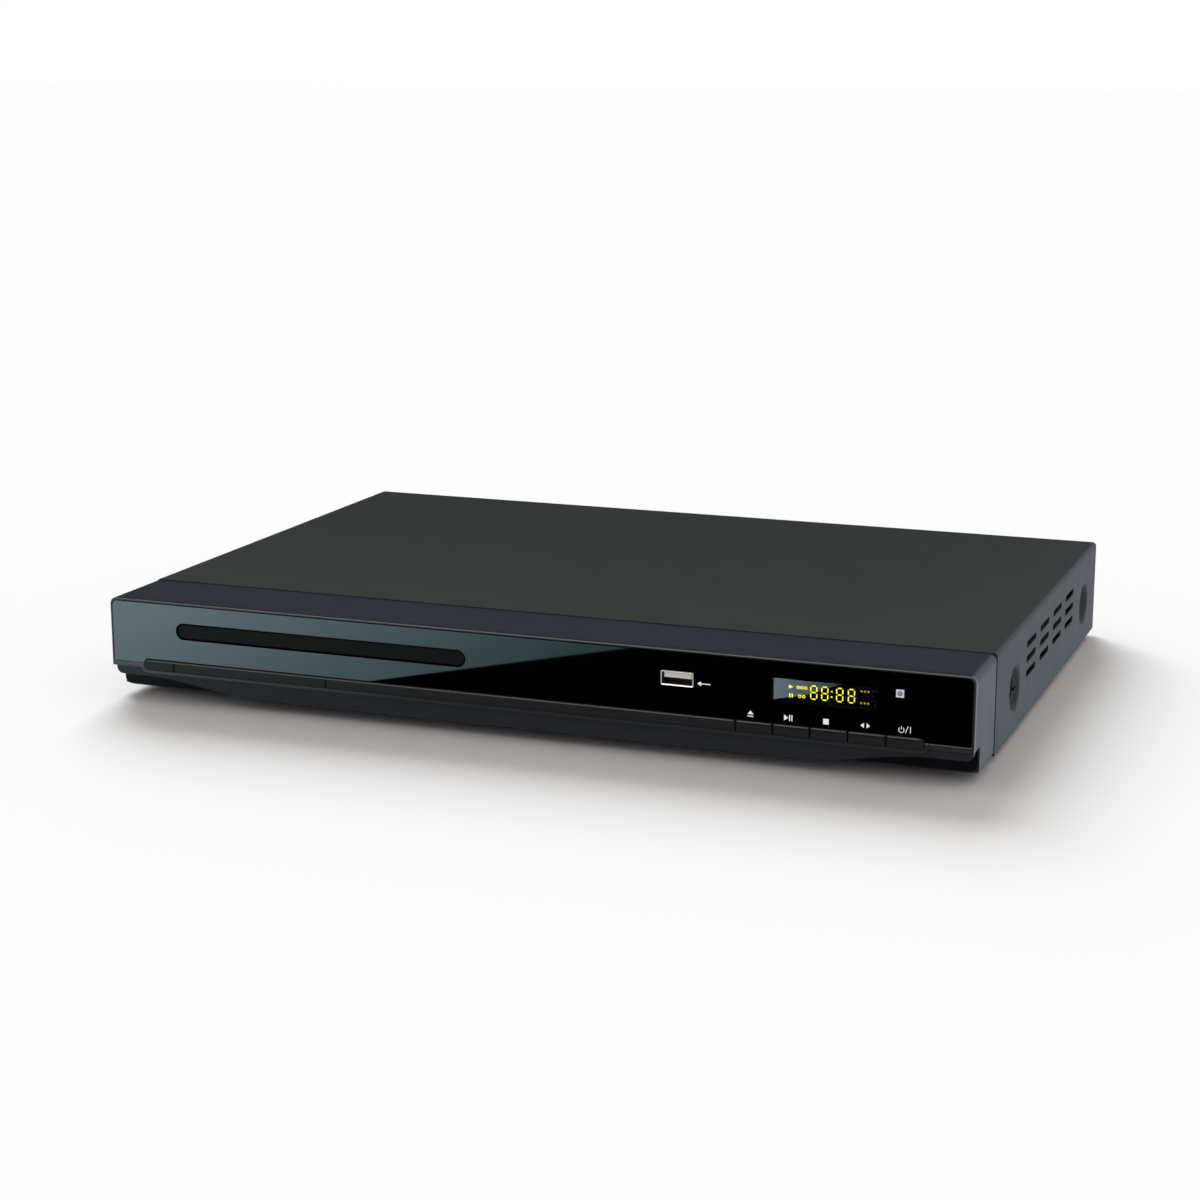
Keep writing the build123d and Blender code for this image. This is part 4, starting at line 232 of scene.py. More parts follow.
@dataclass(frozen=True)
class CircuitBoard(Finish):
    """Solder mask over copper tracks, which are drawn coarser than real ones so that they show.

    The tracks run along the edges of cells. Their width is a share of a cell.
    """

    cell: float = 4.8
    jitter: float = 0.6
    track: float = 0.09
    copper: str = "#3f7d46"

    def tint(self, tree: Tree, place: Socket) -> Socket:
        """Mask colour with paler tracks."""
        cells = add_node(tree, "ShaderNodeTexVoronoi", {
            "feature": "DISTANCE_TO_EDGE", "Scale": per_mm(self.cell), "Randomness": self.jitter},
            {"Vector": place})
        lines = add_node(tree, "ShaderNodeMath", {"operation": "LESS_THAN", 1: self.track},
                         {0: cells.outputs["Distance"]})
        mix = add_node(tree, "ShaderNodeMix", {"data_type": "RGBA", MIX_SECOND: linear(self.copper)},
                       {0: lines.outputs[0], MIX_FIRST: super().tint(tree, place)})
        return mix.outputs[MIX_RESULT]


@dataclass(frozen=True)
class RibbonFilm(Finish):
    """Flat cable: tinned strips under clear film, drawn some six millimetres apart so that they show."""

    radian: float = 1.0

    # Radians that the wave texture turns in one unit at a scale of 1.
    WAVE_RATE = 20

    def tint(self, tree: Tree, place: Socket) -> Socket:
        """Film colour with the strips as bands across X."""
        bands = add_node(tree, "ShaderNodeTexWave", {
            "wave_type": "BANDS", "bands_direction": "X", "Scale": per_mm(self.radian) / self.WAVE_RATE},
            {"Vector": place})
        return self.shades(tree, bands.outputs["Fac"])


@dataclass(frozen=True)
class Lit(Finish):
    """Surface that gives its own light, as a lit segment does."""

    strength: float = 1.0

    def constants(self) -> dict:
        """Sockets of the plain surface, and its light."""
        return {**super().constants(), "Emission Color": linear(self.colour),
                "Emission Strength": self.strength}


@dataclass(frozen=True)
class SmokedLens(Finish):
    """Clear acrylic with a dark dye, which shows what is lit behind it."""

    def constants(self) -> dict:
        """Sockets of a clear solid."""
        return {**super().constants(), "Transmission Weight": 1.0}


# Fine satin paint on sheet steel: an even dark grey with a faint roll of its surface.
COVER_PAINT = Finish("satin_paint_on_sheet_steel", "#2d2f2e", 0.55, specular=0.24, grain_size=1.4,
                     grain_depth=0.003)
# Spark-eroded ABS moulding: blue-grey with a soft sheen.
BEZEL_ABS = Finish("moulded_abs_blue_grey", "#2c2f35", 0.42, specular=0.16, grain_size=1.0, grain_depth=0.003)
# Satin ABS frame round the acrylic: a neutral grey whose rounded edges catch the light.
FRAME_ABS = Finish("moulded_abs_frame_grey", "#2b2d2d", 0.3, specular=0.42, grain_size=0.8, grain_depth=0.002)
# Polished ABS strip of the base: black, with the gloss of its mould.
GLOSS_ABS = Finish("polished_abs_black", "#060607", 0.3, specular=0.1, grain_size=2.0, grain_depth=0.001)
# Satin ABS keys: a neutral dark grey.
KEY_ABS = Finish("moulded_abs_key_grey", "#252726", 0.45, specular=0.12, grain_size=0.8, grain_depth=0.003)
# Painted highlight: pale strips on the keys' top edges, for the light that their rounding catches.
KEY_EDGE_HIGHLIGHT = Finish("rubbed_abs_key_edge", "#585a58", 0.5, specular=0.15, mottle=0.1, mottle_size=3.0)
# Matt ABS tray: nearly black.
TRAY_ABS = Finish("moulded_abs_tray_black", "#121413", 0.6, specular=0.07, grain_size=0.9, grain_depth=0.003)
# Polished acrylic front: black and mirror smooth, with a hardly visible wave.
FRONT_ACRYLIC = Finish("polished_black_acrylic", "#020203", 0.03, ior=1.49, mottle=0.2, grain_size=30.0,
                       grain_depth=0.0006, spread=0.01)
# Smoked acrylic window: a dark mirror through which only lit things show.
WINDOW_ACRYLIC = SmokedLens("smoked_acrylic_lens", "#4c5054", 0.03, ior=1.49, mottle=0.02, grain_size=20.0,
                            grain_depth=0.0004, spread=0.01)
# White screen ink on the acrylic, with a faint glow of its own as painted light, bright beside the black.
GLOWING_WHITE_INK = Lit("white_screen_ink", "#f2f4f4", 0.6, strength=0.35, mottle=0.02)
# Light grey of the remote receiver's window, with a faint glow of its own as painted light.
GLOWING_GREY_INK = Lit("pale_grey_screen_ink", "#c3cfd6", 0.6, strength=0.3, mottle=0.03)
# Amber-yellow light of the digits, and the weaker light of the dots beside them.
YELLOW_LIGHT = Lit("yellow_lit_segment", "#f8e414", 0.5, strength=18.0, mottle=0.0)
WEAK_LIGHT = Lit("yellow_weak_segment", "#f0d030", 0.5, strength=6.0, mottle=0.0)
# Black mask round the lit segments, which shows nothing through the smoked lens.
DISPLAY_MASK = Finish("black_display_mask", "#020202", 0.7, specular=0.0)
# Black-oxide steel screws: black and dull.
BLACK_SCREW = Finish("black_oxide_steel", "#060607", 0.45, specular=0.05, mottle=0.15, mottle_size=2.0,
                     grain_size=0.6)
# Bright zinc on the small screws and on the legs of chips: a pale, clean metal.
ZINC_SCREW = Finish("bright_zinc_steel", "#b9bcbe", 0.28, metallic=1.0, mottle=0.08, mottle_size=2.0,
                    grain_size=0.6)
# Zinc-plated sheet of the pan, panel and bridge: grey crystals that shift from one to the next.
ZINC_SHEET = ZincSheet("zinc_plated_sheet", "#9a9da0", 0.42, metallic=1.0, mottle=0.12, grain_size=1.2)
# Bright nickel on the rear sockets: a warm mirror.
NICKEL = BrushedMetal("bright_nickel_plate", "#d6d2c8", 0.18, metallic=1.0, mottle=0.03, grain_size=0.5,
                      grain_depth=0.001)
# Nickel of the front socket's lips, painted near-white as a highlight: the lit copy of the shell's nickel.
HIGHLIGHT_NICKEL = BrushedMetal("satin_nickel_shell", "#f4f1ea", 0.3, metallic=0.15, mottle=0.03, grain_size=0.5,
                            grain_depth=0.001)
# Inside of the front socket's shell: its nickel painted dark as the shade of the opening.
SHADED_NICKEL = BrushedMetal("dull_nickel_shell", "#1d1b1a", 0.5, metallic=0.4, mottle=0.05, grain_size=0.5)
# Gold flash on contacts: a warm yellow metal.
GOLD = Finish("gold_flash_contact", "#d9b45a", 0.22, metallic=1.0, mottle=0.04, mottle_size=1.0)
# Moulded rubber of the feet: dark grey and matt, with a coarse skin.
FOOT_RUBBER = Finish("moulded_foot_rubber", "#1b1b1c", 0.75, specular=0.3, mottle=0.1, grain_size=0.8,
                     grain_depth=0.01)
# Ground rubber of the belt and the bushes: black and dull.
BELT_RUBBER = Finish("drive_belt_rubber", "#161616", 0.7, specular=0.3, mottle=0.1, grain_size=0.5)
# Solder mask on the boards: satin green with paler tracks.
BOARD_MASK = CircuitBoard("green_solder_mask", "#2a5f33", 0.4, mottle=0.1)
# Moulded epoxy of chips and switches: dark grey with a fine, dull grain.
CHIP_EPOXY = Finish("moulded_chip_epoxy", "#232425", 0.55, mottle=0.1, mottle_size=3.0, grain_size=0.5)
# Shrink sleeve of capacitors: dark blue and glossy.
SLEEVE = Finish("capacitor_shrink_sleeve", "#20264a", 0.3, mottle=0.12, mottle_size=4.0)
# Tongue of the front socket: white and glossy.
TONGUE_PBT = Finish("moulded_tongue_white", "#f2efe8", 0.35, mottle=0.02, grain_size=0.7)
# Moulded PBT of the rear sockets: black with a soft sheen.
SOCKET_PBT = Finish("moulded_socket_plastic", "#1d1d1e", 0.5, mottle=0.1, grain_size=0.7)
# Ferrite core and the tape round it: brown-grey and dull.
FERRITE = Finish("ferrite_and_tape", "#3a3836", 0.6, mottle=0.18, mottle_size=3.0, grain_size=0.6,
                 grain_depth=0.01)
# Extruded aluminium of the heat sink: pale metal with lines along the draw.
ALUMINIUM = BrushedMetal("extruded_aluminium", "#c3c6c9", 0.32, metallic=1.0, mottle=0.05, grain_size=0.7,
                         stretch=(1.0, 1.0, 0.05))
# Flat cable: pale film over brighter strips.
RIBBON = RibbonFilm("flat_cable_film", "#c9cdcc", 0.3, mottle=0.25)
# Moulded ABS of the loader: dark grey with a soft sheen.
LOADER_ABS = Finish("moulded_abs_loader_black", "#232425", 0.5, mottle=0.08, grain_size=0.9)
# Acetal of the gears: waxy white.
ACETAL = Finish("moulded_white_acetal", "#dcdad2", 0.35, ior=1.48, mottle=0.03, grain_size=0.7)
# Drawn steel cans of the motors: bright, with lines along the draw.
MOTOR_CAN = BrushedMetal("drawn_steel_can", "#b4b6b8", 0.28, metallic=1.0, mottle=0.05, grain_size=0.6,
                         stretch=(1.0, 1.0, 0.05))
# Ground steel of the rods and the screw: nearly a mirror, with lines along the bar.
GROUND_STEEL = BrushedMetal("ground_steel_bar", "#c8cacc", 0.16, metallic=1.0, mottle=0.03, grain_size=0.4,
                            stretch=(1.0, 0.04, 1.0))
# Die-cast alloy of the pickup: a dull grey metal with a rough skin.
CASTING = Finish("die_cast_alloy", "#8d8f91", 0.45, metallic=0.9, mottle=0.1, mottle_size=3.0,
                 grain_depth=0.01)
# Vulcanised fibre sheet between the mains supply and the cover: black and matt, as painted shade behind the
# side vents.
SHADE_FIBRE_SHEET = Finish("black_fibre_sheet", "#0a0a0a", 0.8, specular=0.1, mottle=0.1, grain_size=1.2,
                     grain_depth=0.01)
# Lens and its holder: dark and glossy.
LENS_PLASTIC = Finish("moulded_lens_plastic", "#23242c", 0.12, mottle=0.05)

NODE_FINISHES: dict[Finish, tuple[str, ...]] = {
    COVER_PAINT: ("top_cover",),
    BEZEL_ABS: ("front_bezel",),
    FRAME_ABS: ("front_frame",),
    GLOSS_ABS: ("base_strip",),
    FRONT_ACRYLIC: ("front_glass",),
    WINDOW_ACRYLIC: ("display_window",),
    KEY_ABS: ("button_trim", "button_eject", "button_play", "button_stop", "button_channel", "button_power"),
    TRAY_ABS: ("tray_door", "disc_tray"),
    ZINC_SHEET: ("chassis_pan", "rear_panel", "clamp_bridge"),
    FOOT_RUBBER: ("foot_front_left", "foot_front_right", "foot_rear_left", "foot_rear_right"),
    BOARD_MASK: ("front_board", "main_board", "power_board"),
    CHIP_EPOXY: ("main_chips", "key_switches", "ir_receiver"),
    DISPLAY_MASK: ("display_module",),
    SLEEVE: ("main_capacitors", "power_capacitors"),
    SHADED_NICKEL: ("usb_shell",),
    NICKEL: ("hdmi_socket", "av_jack_barrels", "inlet_pins"),
    TONGUE_PBT: ("usb_tongue",),
    SOCKET_PBT: ("av_jack_block", "mains_inlet"),
    FERRITE: ("transformer",),
    ALUMINIUM: ("heat_sink",),
    RIBBON: ("ribbon_cables",),
    LOADER_ABS: ("loader_frame", "traverse_frame", "lift_cam", "clamper", "turntable"),
    ACETAL: ("tray_gear", "pulley_gear", "motor_pulley"),
    MOTOR_CAN: ("loading_motor", "spindle_motor", "feed_motor"),
    GROUND_STEEL: ("guide_rods", "feed_screw"),
    BELT_RUBBER: ("drive_belt", "pivot_bushes"),
    CASTING: ("pickup_sled",),
    LENS_PLASTIC: ("pickup_lens",),
}


# Meshes


class Face(Enum):
    """Way that a flat outline is laid: its two axes and the axis of its thickness."""

    FRONT = (0, 2, 1)
    SIDE = (1, 2, 0)
    TOP = (0, 1, 2)


def around(sides: int) -> list[Point2]:
    """Points of a unit circle in equal steps."""
    angles = [2 * math.pi * i / sides for i in range(sides)]
    return [(math.cos(a), math.sin(a)) for a in angles]


def arc_band(inner: float, outer: float, start: float, end: float, steps: int) -> list[Point2]:
    """Outline of a stroke along an arc.

    Args:
        inner: Radius of its inner edge.
        outer: Radius of its outer edge.
        start: Angle where it starts, in degrees.
        end: Angle where it ends.
        steps: Flats along it.

    Returns:
        Points along the outer edge and back along the inner one.
    """
    angles = [math.radians(start + (end - start) * i / steps) for i in range(steps + 1)]
    return [(radius * math.cos(a), radius * math.sin(a))
            for radius, order in ((outer, angles), (inner, angles[::-1])) for a in order]


def rectangle(left: float, right: float, low: float, high: float) -> list[Point2]:
    """Corners of a rectangle, in order."""
    return [(left, low), (right, low), (right, high), (left, high)]


def row(middle: float, count: int, pitch: float) -> list[float]:
    """Places in equal steps about a middle."""
    return [middle + (i - (count - 1) / 2) * pitch for i in range(count)]


class Draft:
    """Mesh under construction, in metres."""

    def __init__(self) -> None:
        """Start with nothing."""
        self.mesh = bmesh.new()

    def prism(self, points: Outline, face: Face, start: float, end: float) -> None:
        """Add a closed prism over an outline.

        Args:
            points: Corners of the outline, in order.
            face: How the outline is laid.
            start: One end of its thickness.
            end: The other end.
        """
        u, v, w = face.value
        rings = []
        for level in (start, end):
            ring = []
            for point in points:
                place = [0.0, 0.0, 0.0]
                place[u], place[v], place[w] = point[0], point[1], level
                ring.append(self.mesh.verts.new(place))
            rings.append(ring)
        self.mesh.faces.new(rings[0])
        self.mesh.faces.new(rings[1])
        count = len(points)
        for i in range(count):
            j = (i + 1) % count
            self.mesh.faces.new((rings[0][i], rings[0][j], rings[1][j], rings[1][i]))

    def lathe(self, profile: Outline, sides: int) -> None:
        """Add a closed solid of revolution about Z.

        Args:
            profile: (radius, height) points, from the axis round to the axis.
            sides: Flats round the axis.
        """
        circle = around(sides)
        rings = []
        for radius, height in profile:
            places = [(radius * u, radius * v) for u, v in circle] if radius > 0 else [(0.0, 0.0)]
            rings.append([self.mesh.verts.new((x, y, height)) for x, y in places])
        for low, high in zip(rings, rings[1:]):
            for i in range(sides):
                j = (i + 1) % sides
                corners = [low[i % len(low)], low[j % len(low)], high[j % len(high)], high[i % len(high)]]
                unique = list(dict.fromkeys(corners))
                if len(unique) > 2:
                    self.mesh.faces.new(unique)

    def ring(self, inner: float, outer: float, start: float, end: float, sides: int, turn: Matrix) -> None:
        """Add a flat washer about Z.

        Args:
            inner: Radius of its hole.
            outer: Radius of its rim.
            start: Height of its underside.
            end: Height of its top.
            sides: Flats round the axis.
            turn: Where the washer goes.
        """
        circle = around(sides)
        loops = [[self.mesh.verts.new(turn @ Vector((radius * u, radius * v, height))) for u, v in circle]
                 for radius, height in ((inner, start), (outer, start), (outer, end), (inner, end))]
        for low, high in zip(loops, loops[1:] + loops[:1]):
            for i in range(sides):
                j = (i + 1) % sides
                self.mesh.faces.new((low[i], low[j], high[j], high[i]))

    def object(self, name: str) -> bpy.types.Object:
        """Close the draft as an object at the origin, with its faces pointing outwards."""
        bmesh.ops.recalc_face_normals(self.mesh, faces=self.mesh.faces)
        data = bpy.data.meshes.new(name)
        self.mesh.to_mesh(data)
        self.mesh.free()
        made = bpy.data.objects.new(name, data)
        bpy.context.scene.collection.objects.link(made)
        return made


def flatten(piece: bpy.types.Object) -> None:
    """Make a piece with modifiers a plain mesh."""
    graph = bpy.context.evaluated_depsgraph_get()
    plain = bpy.data.meshes.new_from_object(piece.evaluated_get(graph))
    piece.modifiers.clear()
    piece.data = plain


def settle(piece: bpy.types.Object, finish: Optional[Finish], slot: str, body: str = "case",
           replaced: Sequence[str] = ()) -> None:
    """Dress a finished piece and seat it on its body.

    Args:
        piece: Object at the origin.
        finish: Its finish, or none where its mesh already has one.
        slot: Material slot of the record for the piece; not used.
        body: Body that it moves with.
        replaced: Nodes that it stands for.
    """
    if finish:
        piece.data.materials.clear()
        piece.data.materials.append(finish.material())
    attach(piece, body)
    if replaced:
        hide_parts(*replaced)
    LOG.info("piece %s on %s", piece.name, body)


def islands(node: str) -> list[list[Vector]]:
    """Corners of each separate solid of a CAD node.

    Args:
        node: Name of the node.

    Returns:
        One list of corners for each solid, in the order of their places.
    """
    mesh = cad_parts[node].data
    keys = [tuple(round(c, 6) for c in vertex.co) for vertex in mesh.vertices]
    parent = {key: key for key in keys}

    def root(key: tuple) -> tuple:
        """Head of the group that a corner belongs to."""
        while parent[key] != key:
            parent[key] = parent[parent[key]]
            key = parent[key]
        return key

    for polygon in mesh.polygons:
        first, *rest = (keys[i] for i in polygon.vertices)
        for other in rest:
            parent[root(other)] = root(first)
    groups: dict[tuple, list[Vector]] = {}
    for key in sorted(parent):
        groups.setdefault(root(key), []).append(Vector(key))
    return sorted(groups.values(), key=lambda corners: tuple(corners[0]))


def corners_of(points: Sequence[Vector]) -> tuple[Vector, Vector]:
    """Lowest and highest corner of a list of points."""
    low = Vector([min(p[i] for p in points) for i in range(3)])
    high = Vector([max(p[i] for p in points) for i in range(3)])
    return low, high


# Repeated pieces


@dataclass(frozen=True)
class Seat:
    """Place of one copy of a repeated shape, and how it is turned there, in radians about each axis."""

    place: Vector
    turn: Point3 = (0.0, 0.0, 0.0)


@dataclass(frozen=True)
class Repeater:
    """Geometry Nodes tree that sets one shape at every seat, with named sizes."""

    name: str
    width: float
    depth: float
    height: float

    SIZES = ("Width", "Depth", "Height")
    TURN = "turn"

    def tree(self, finish: Finish) -> Tree:
        """Tree that stretches a shape, sets it on points and makes the copies real.

        Args:
            finish: Finish of the copies.

        Returns:
            The node tree.
        """
        tree = bpy.data.node_groups.new(self.name, "GeometryNodeTree")
        inputs = {"Geometry": "NodeSocketGeometry", "Shape": "NodeSocketObject",
                  **{label: "NodeSocketFloat" for label in self.SIZES}}
        for label, kind in inputs.items():
            tree.interface.new_socket(label, in_out="INPUT", socket_type=kind)
        tree.interface.new_socket("Geometry", in_out="OUTPUT", socket_type="NodeSocketGeometry")
        entry = add_node(tree, "NodeGroupInput")
        source = add_node(tree, "GeometryNodeObjectInfo", links={"Object": entry.outputs["Shape"]})
        scale = add_node(tree, "ShaderNodeCombineXYZ",
                         links={i: entry.outputs[label] for i, label in enumerate(self.SIZES)})
        shape = add_node(tree, "GeometryNodeTransform", links={
            "Geometry": source.outputs["Geometry"], "Scale": scale.outputs[0]})
        turn = add_node(tree, "GeometryNodeInputNamedAttribute", {
            "data_type": "FLOAT_VECTOR", "Name": self.TURN})
        rotation = add_node(tree, "FunctionNodeEulerToRotation", links={0: turn.outputs["Attribute"]})
        copies = add_node(tree, "GeometryNodeInstanceOnPoints", links={
            "Points": entry.outputs["Geometry"], "Instance": shape.outputs[0],
            "Rotation": rotation.outputs[0]})
        real = add_node(tree, "GeometryNodeRealizeInstances", links={0: copies.outputs[0]})
        dressed = add_node(tree, "GeometryNodeSetMaterial", {"Material": finish.material()},
                           {0: real.outputs[0]})
        add_node(tree, "NodeGroupOutput", links={0: dressed.outputs[0]})
        return tree

    def make(self, shape: bpy.types.Object, seats: Sequence[Seat], finish: Finish) -> bpy.types.Object:
        """Copies of a shape as one plain mesh.

        Args:
            shape: Shape of unit size, which is used up.
            seats: Where the copies go.
            finish: Their finish.

        Returns:
            Object at the origin with a plain mesh.
        """
        points = bpy.data.meshes.new(self.name)
        points.from_pydata([seat.place for seat in seats], [], [])
        turns = points.attributes.new(self.TURN, "FLOAT_VECTOR", "POINT")
        turns.data.foreach_set("vector", [c for seat in seats for c in seat.turn])
        made = bpy.data.objects.new(self.name, points)
        bpy.context.scene.collection.objects.link(made)
        tree = self.tree(finish)
        modifier = made.modifiers.new(self.name, "NODES")
        modifier.node_group = tree
        values = {"Shape": shape, "Width": self.width, "Depth": self.depth, "Height": self.height}
        for item in tree.interface.items_tree:
            if item.in_out == "INPUT" and item.name in values:
                modifier[item.identifier] = values[item.name]
        flatten(made)
        left_over = made.data.attributes.get(self.TURN)
        if left_over:
            made.data.attributes.remove(left_over)
        bpy.data.objects.remove(shape)
        return made


def unit_bar(tip: float = 0.14) -> bpy.types.Object:
    """Bar of unit size with pointed ends along X, as a lit segment has."""
    draft = Draft()
    end = 0.5 - tip
    outline = [(-0.5, 0), (-end, -0.5), (end, -0.5), (0.5, 0), (end, 0.5), (-end, 0.5)]
    draft.prism(outline, Face.FRONT, -0.5, 0.5)
    return draft.object("unit_bar")


def unit_block(edge: float = 0.12) -> bpy.types.Object:
    """Block of unit size with eased edges."""
    made = Draft()
    bmesh.ops.create_cube(made.mesh, size=1.0)
    bmesh.ops.bevel(made.mesh, geom=made.mesh.edges[:], offset=edge, segments=2, affect="EDGES", profile=0.7)
    return made.object("unit_block")


@dataclass(frozen=True)
class ScrewForm:
    """Pan head with a cross recess over a threaded shank, in shares of the head's radius and height."""

    shank: float
    length: float
    turns: int = 6
    root: float = 0.82
    head: Outline = ((1.0, 0.0), (1.0, 0.3), (0.95, 0.55), (0.82, 0.78), (0.6, 0.93), (0.3, 0.99), (0.0, 1.0))
    sides: int = 32
    recess_width: float = 0.24
    recess_reach: float = 0.62
    recess_depth: float = 0.62
    cutter_top: float = 2.0

    def profile(self) -> list[Point2]:
        """(radius, height) points from the end of the thread to the top of the head."""
        pitch = self.length / self.turns
        root = self.shank * self.root
        points = [(0.0, -self.length)]
        for i in range(self.turns):
            level = -self.length + i * pitch
            points += [(root, level), (self.shank, level + pitch / 2)]
        return [*points, (root, 0.0), *self.head]

    def recess(self) -> list[Point2]:
        """Outline of the cross, arm by arm."""
        half, reach = self.recess_width / 2, self.recess_reach
        arm = [(reach, -half), (reach, half), (half, half)]
        outline: list[Point2] = []
        for _ in range(4):
            outline += arm
            arm = [(-v, u) for u, v in arm]
        return outline

    def shape(self) -> bpy.types.Object:
        """Screw of unit head radius and height, along Z, with the underside of its head at the origin."""
        draft = Draft()
        draft.lathe(self.profile(), self.sides)
        screw = draft.object("screw")
        cross = Draft()
        cross.prism(self.recess(), Face.TOP, 1 - self.recess_depth, self.cutter_top)
        cutter = cross.object("screw_recess")
        cut = screw.modifiers.new("recess", "BOOLEAN")
        cut.operation = "DIFFERENCE"
        cut.solver = "EXACT"
        cut.object = cutter
        flatten(screw)
        bpy.data.objects.remove(cutter)
        return screw


@dataclass(frozen=True)
class Screw:
    """One CAD screw: its seat, and its sizes in metres."""

    seat: Seat
    radius: float
    head: float
    length: float


@dataclass(frozen=True)
class ScrewGroup:
    """Screws of one CAD node, given heads with a cross recess. The shank's radius is in millimetres."""

    node: str
    finish: Finish
    slot: str
    shank: float = 1.4

    # Share of the head's radius past which a corner belongs to the rim of the head.
    RIM = 0.95

    def measure(self, corners: Sequence[Vector]) -> Screw:
        """Find how a screw lies and how large it is.

        Args:
            corners: Corners of the screw's solid.

        Returns:
            The screw, seated where the underside of its head is.
        """
        low, high = corners_of(corners)
        extent = high - low
        axis = max(range(3), key=lambda i: abs(3 * extent[i] - sum(extent)))
        others = [i for i in range(3) if i != axis]
        middle = (low + high) / 2
        radius = max(extent[i] for i in others) / 2
        rim = [c[axis] for c in corners
               if math.hypot(*(c[i] - middle[i] for i in others)) > radius * self.RIM]
        up = (min(rim) + max(rim)) / 2 > middle[axis]
        foot, under, top = low[axis], min(rim), high[axis]
        if not up:
            foot, under, top = high[axis], max(rim), low[axis]
        place = middle.copy()
        place[axis] = under
        way = Vector((0.0, 0.0, 0.0))
        way[axis] = 1.0 if up else -1.0
        seat = Seat(place, tuple(way.to_track_quat("Z", "Y").to_euler()))
        return Screw(seat, radius, abs(top - under), abs(under - foot))

    def dress(self) -> None:
        """Replace the node's plain screws, one piece for each size of head."""
        sizes: dict[float, list[Screw]] = {}
        for corners in islands(self.node):
            screw = self.measure(corners)
            sizes.setdefault(round(screw.radius / MM, 1), []).append(screw)
        for index, screws in enumerate(sizes.values(), 1):
            first = screws[0]
            form = ScrewForm(self.shank * MM / first.radius, first.length / first.head)
            copies = Repeater(f"{self.node}_heads_{index}", first.radius, first.radius, first.head)
            piece = copies.make(form.shape(), [screw.seat for screw in screws], self.finish)
            settle(piece, None, self.slot, replaced=[self.node])


# Front


class Symbol(Enum):
    """Marks printed over the keys."""

    EJECT = "eject"
    PLAY = "play"
    STOP = "stop"
    CHANNEL = "channel"
    POWER = "power"


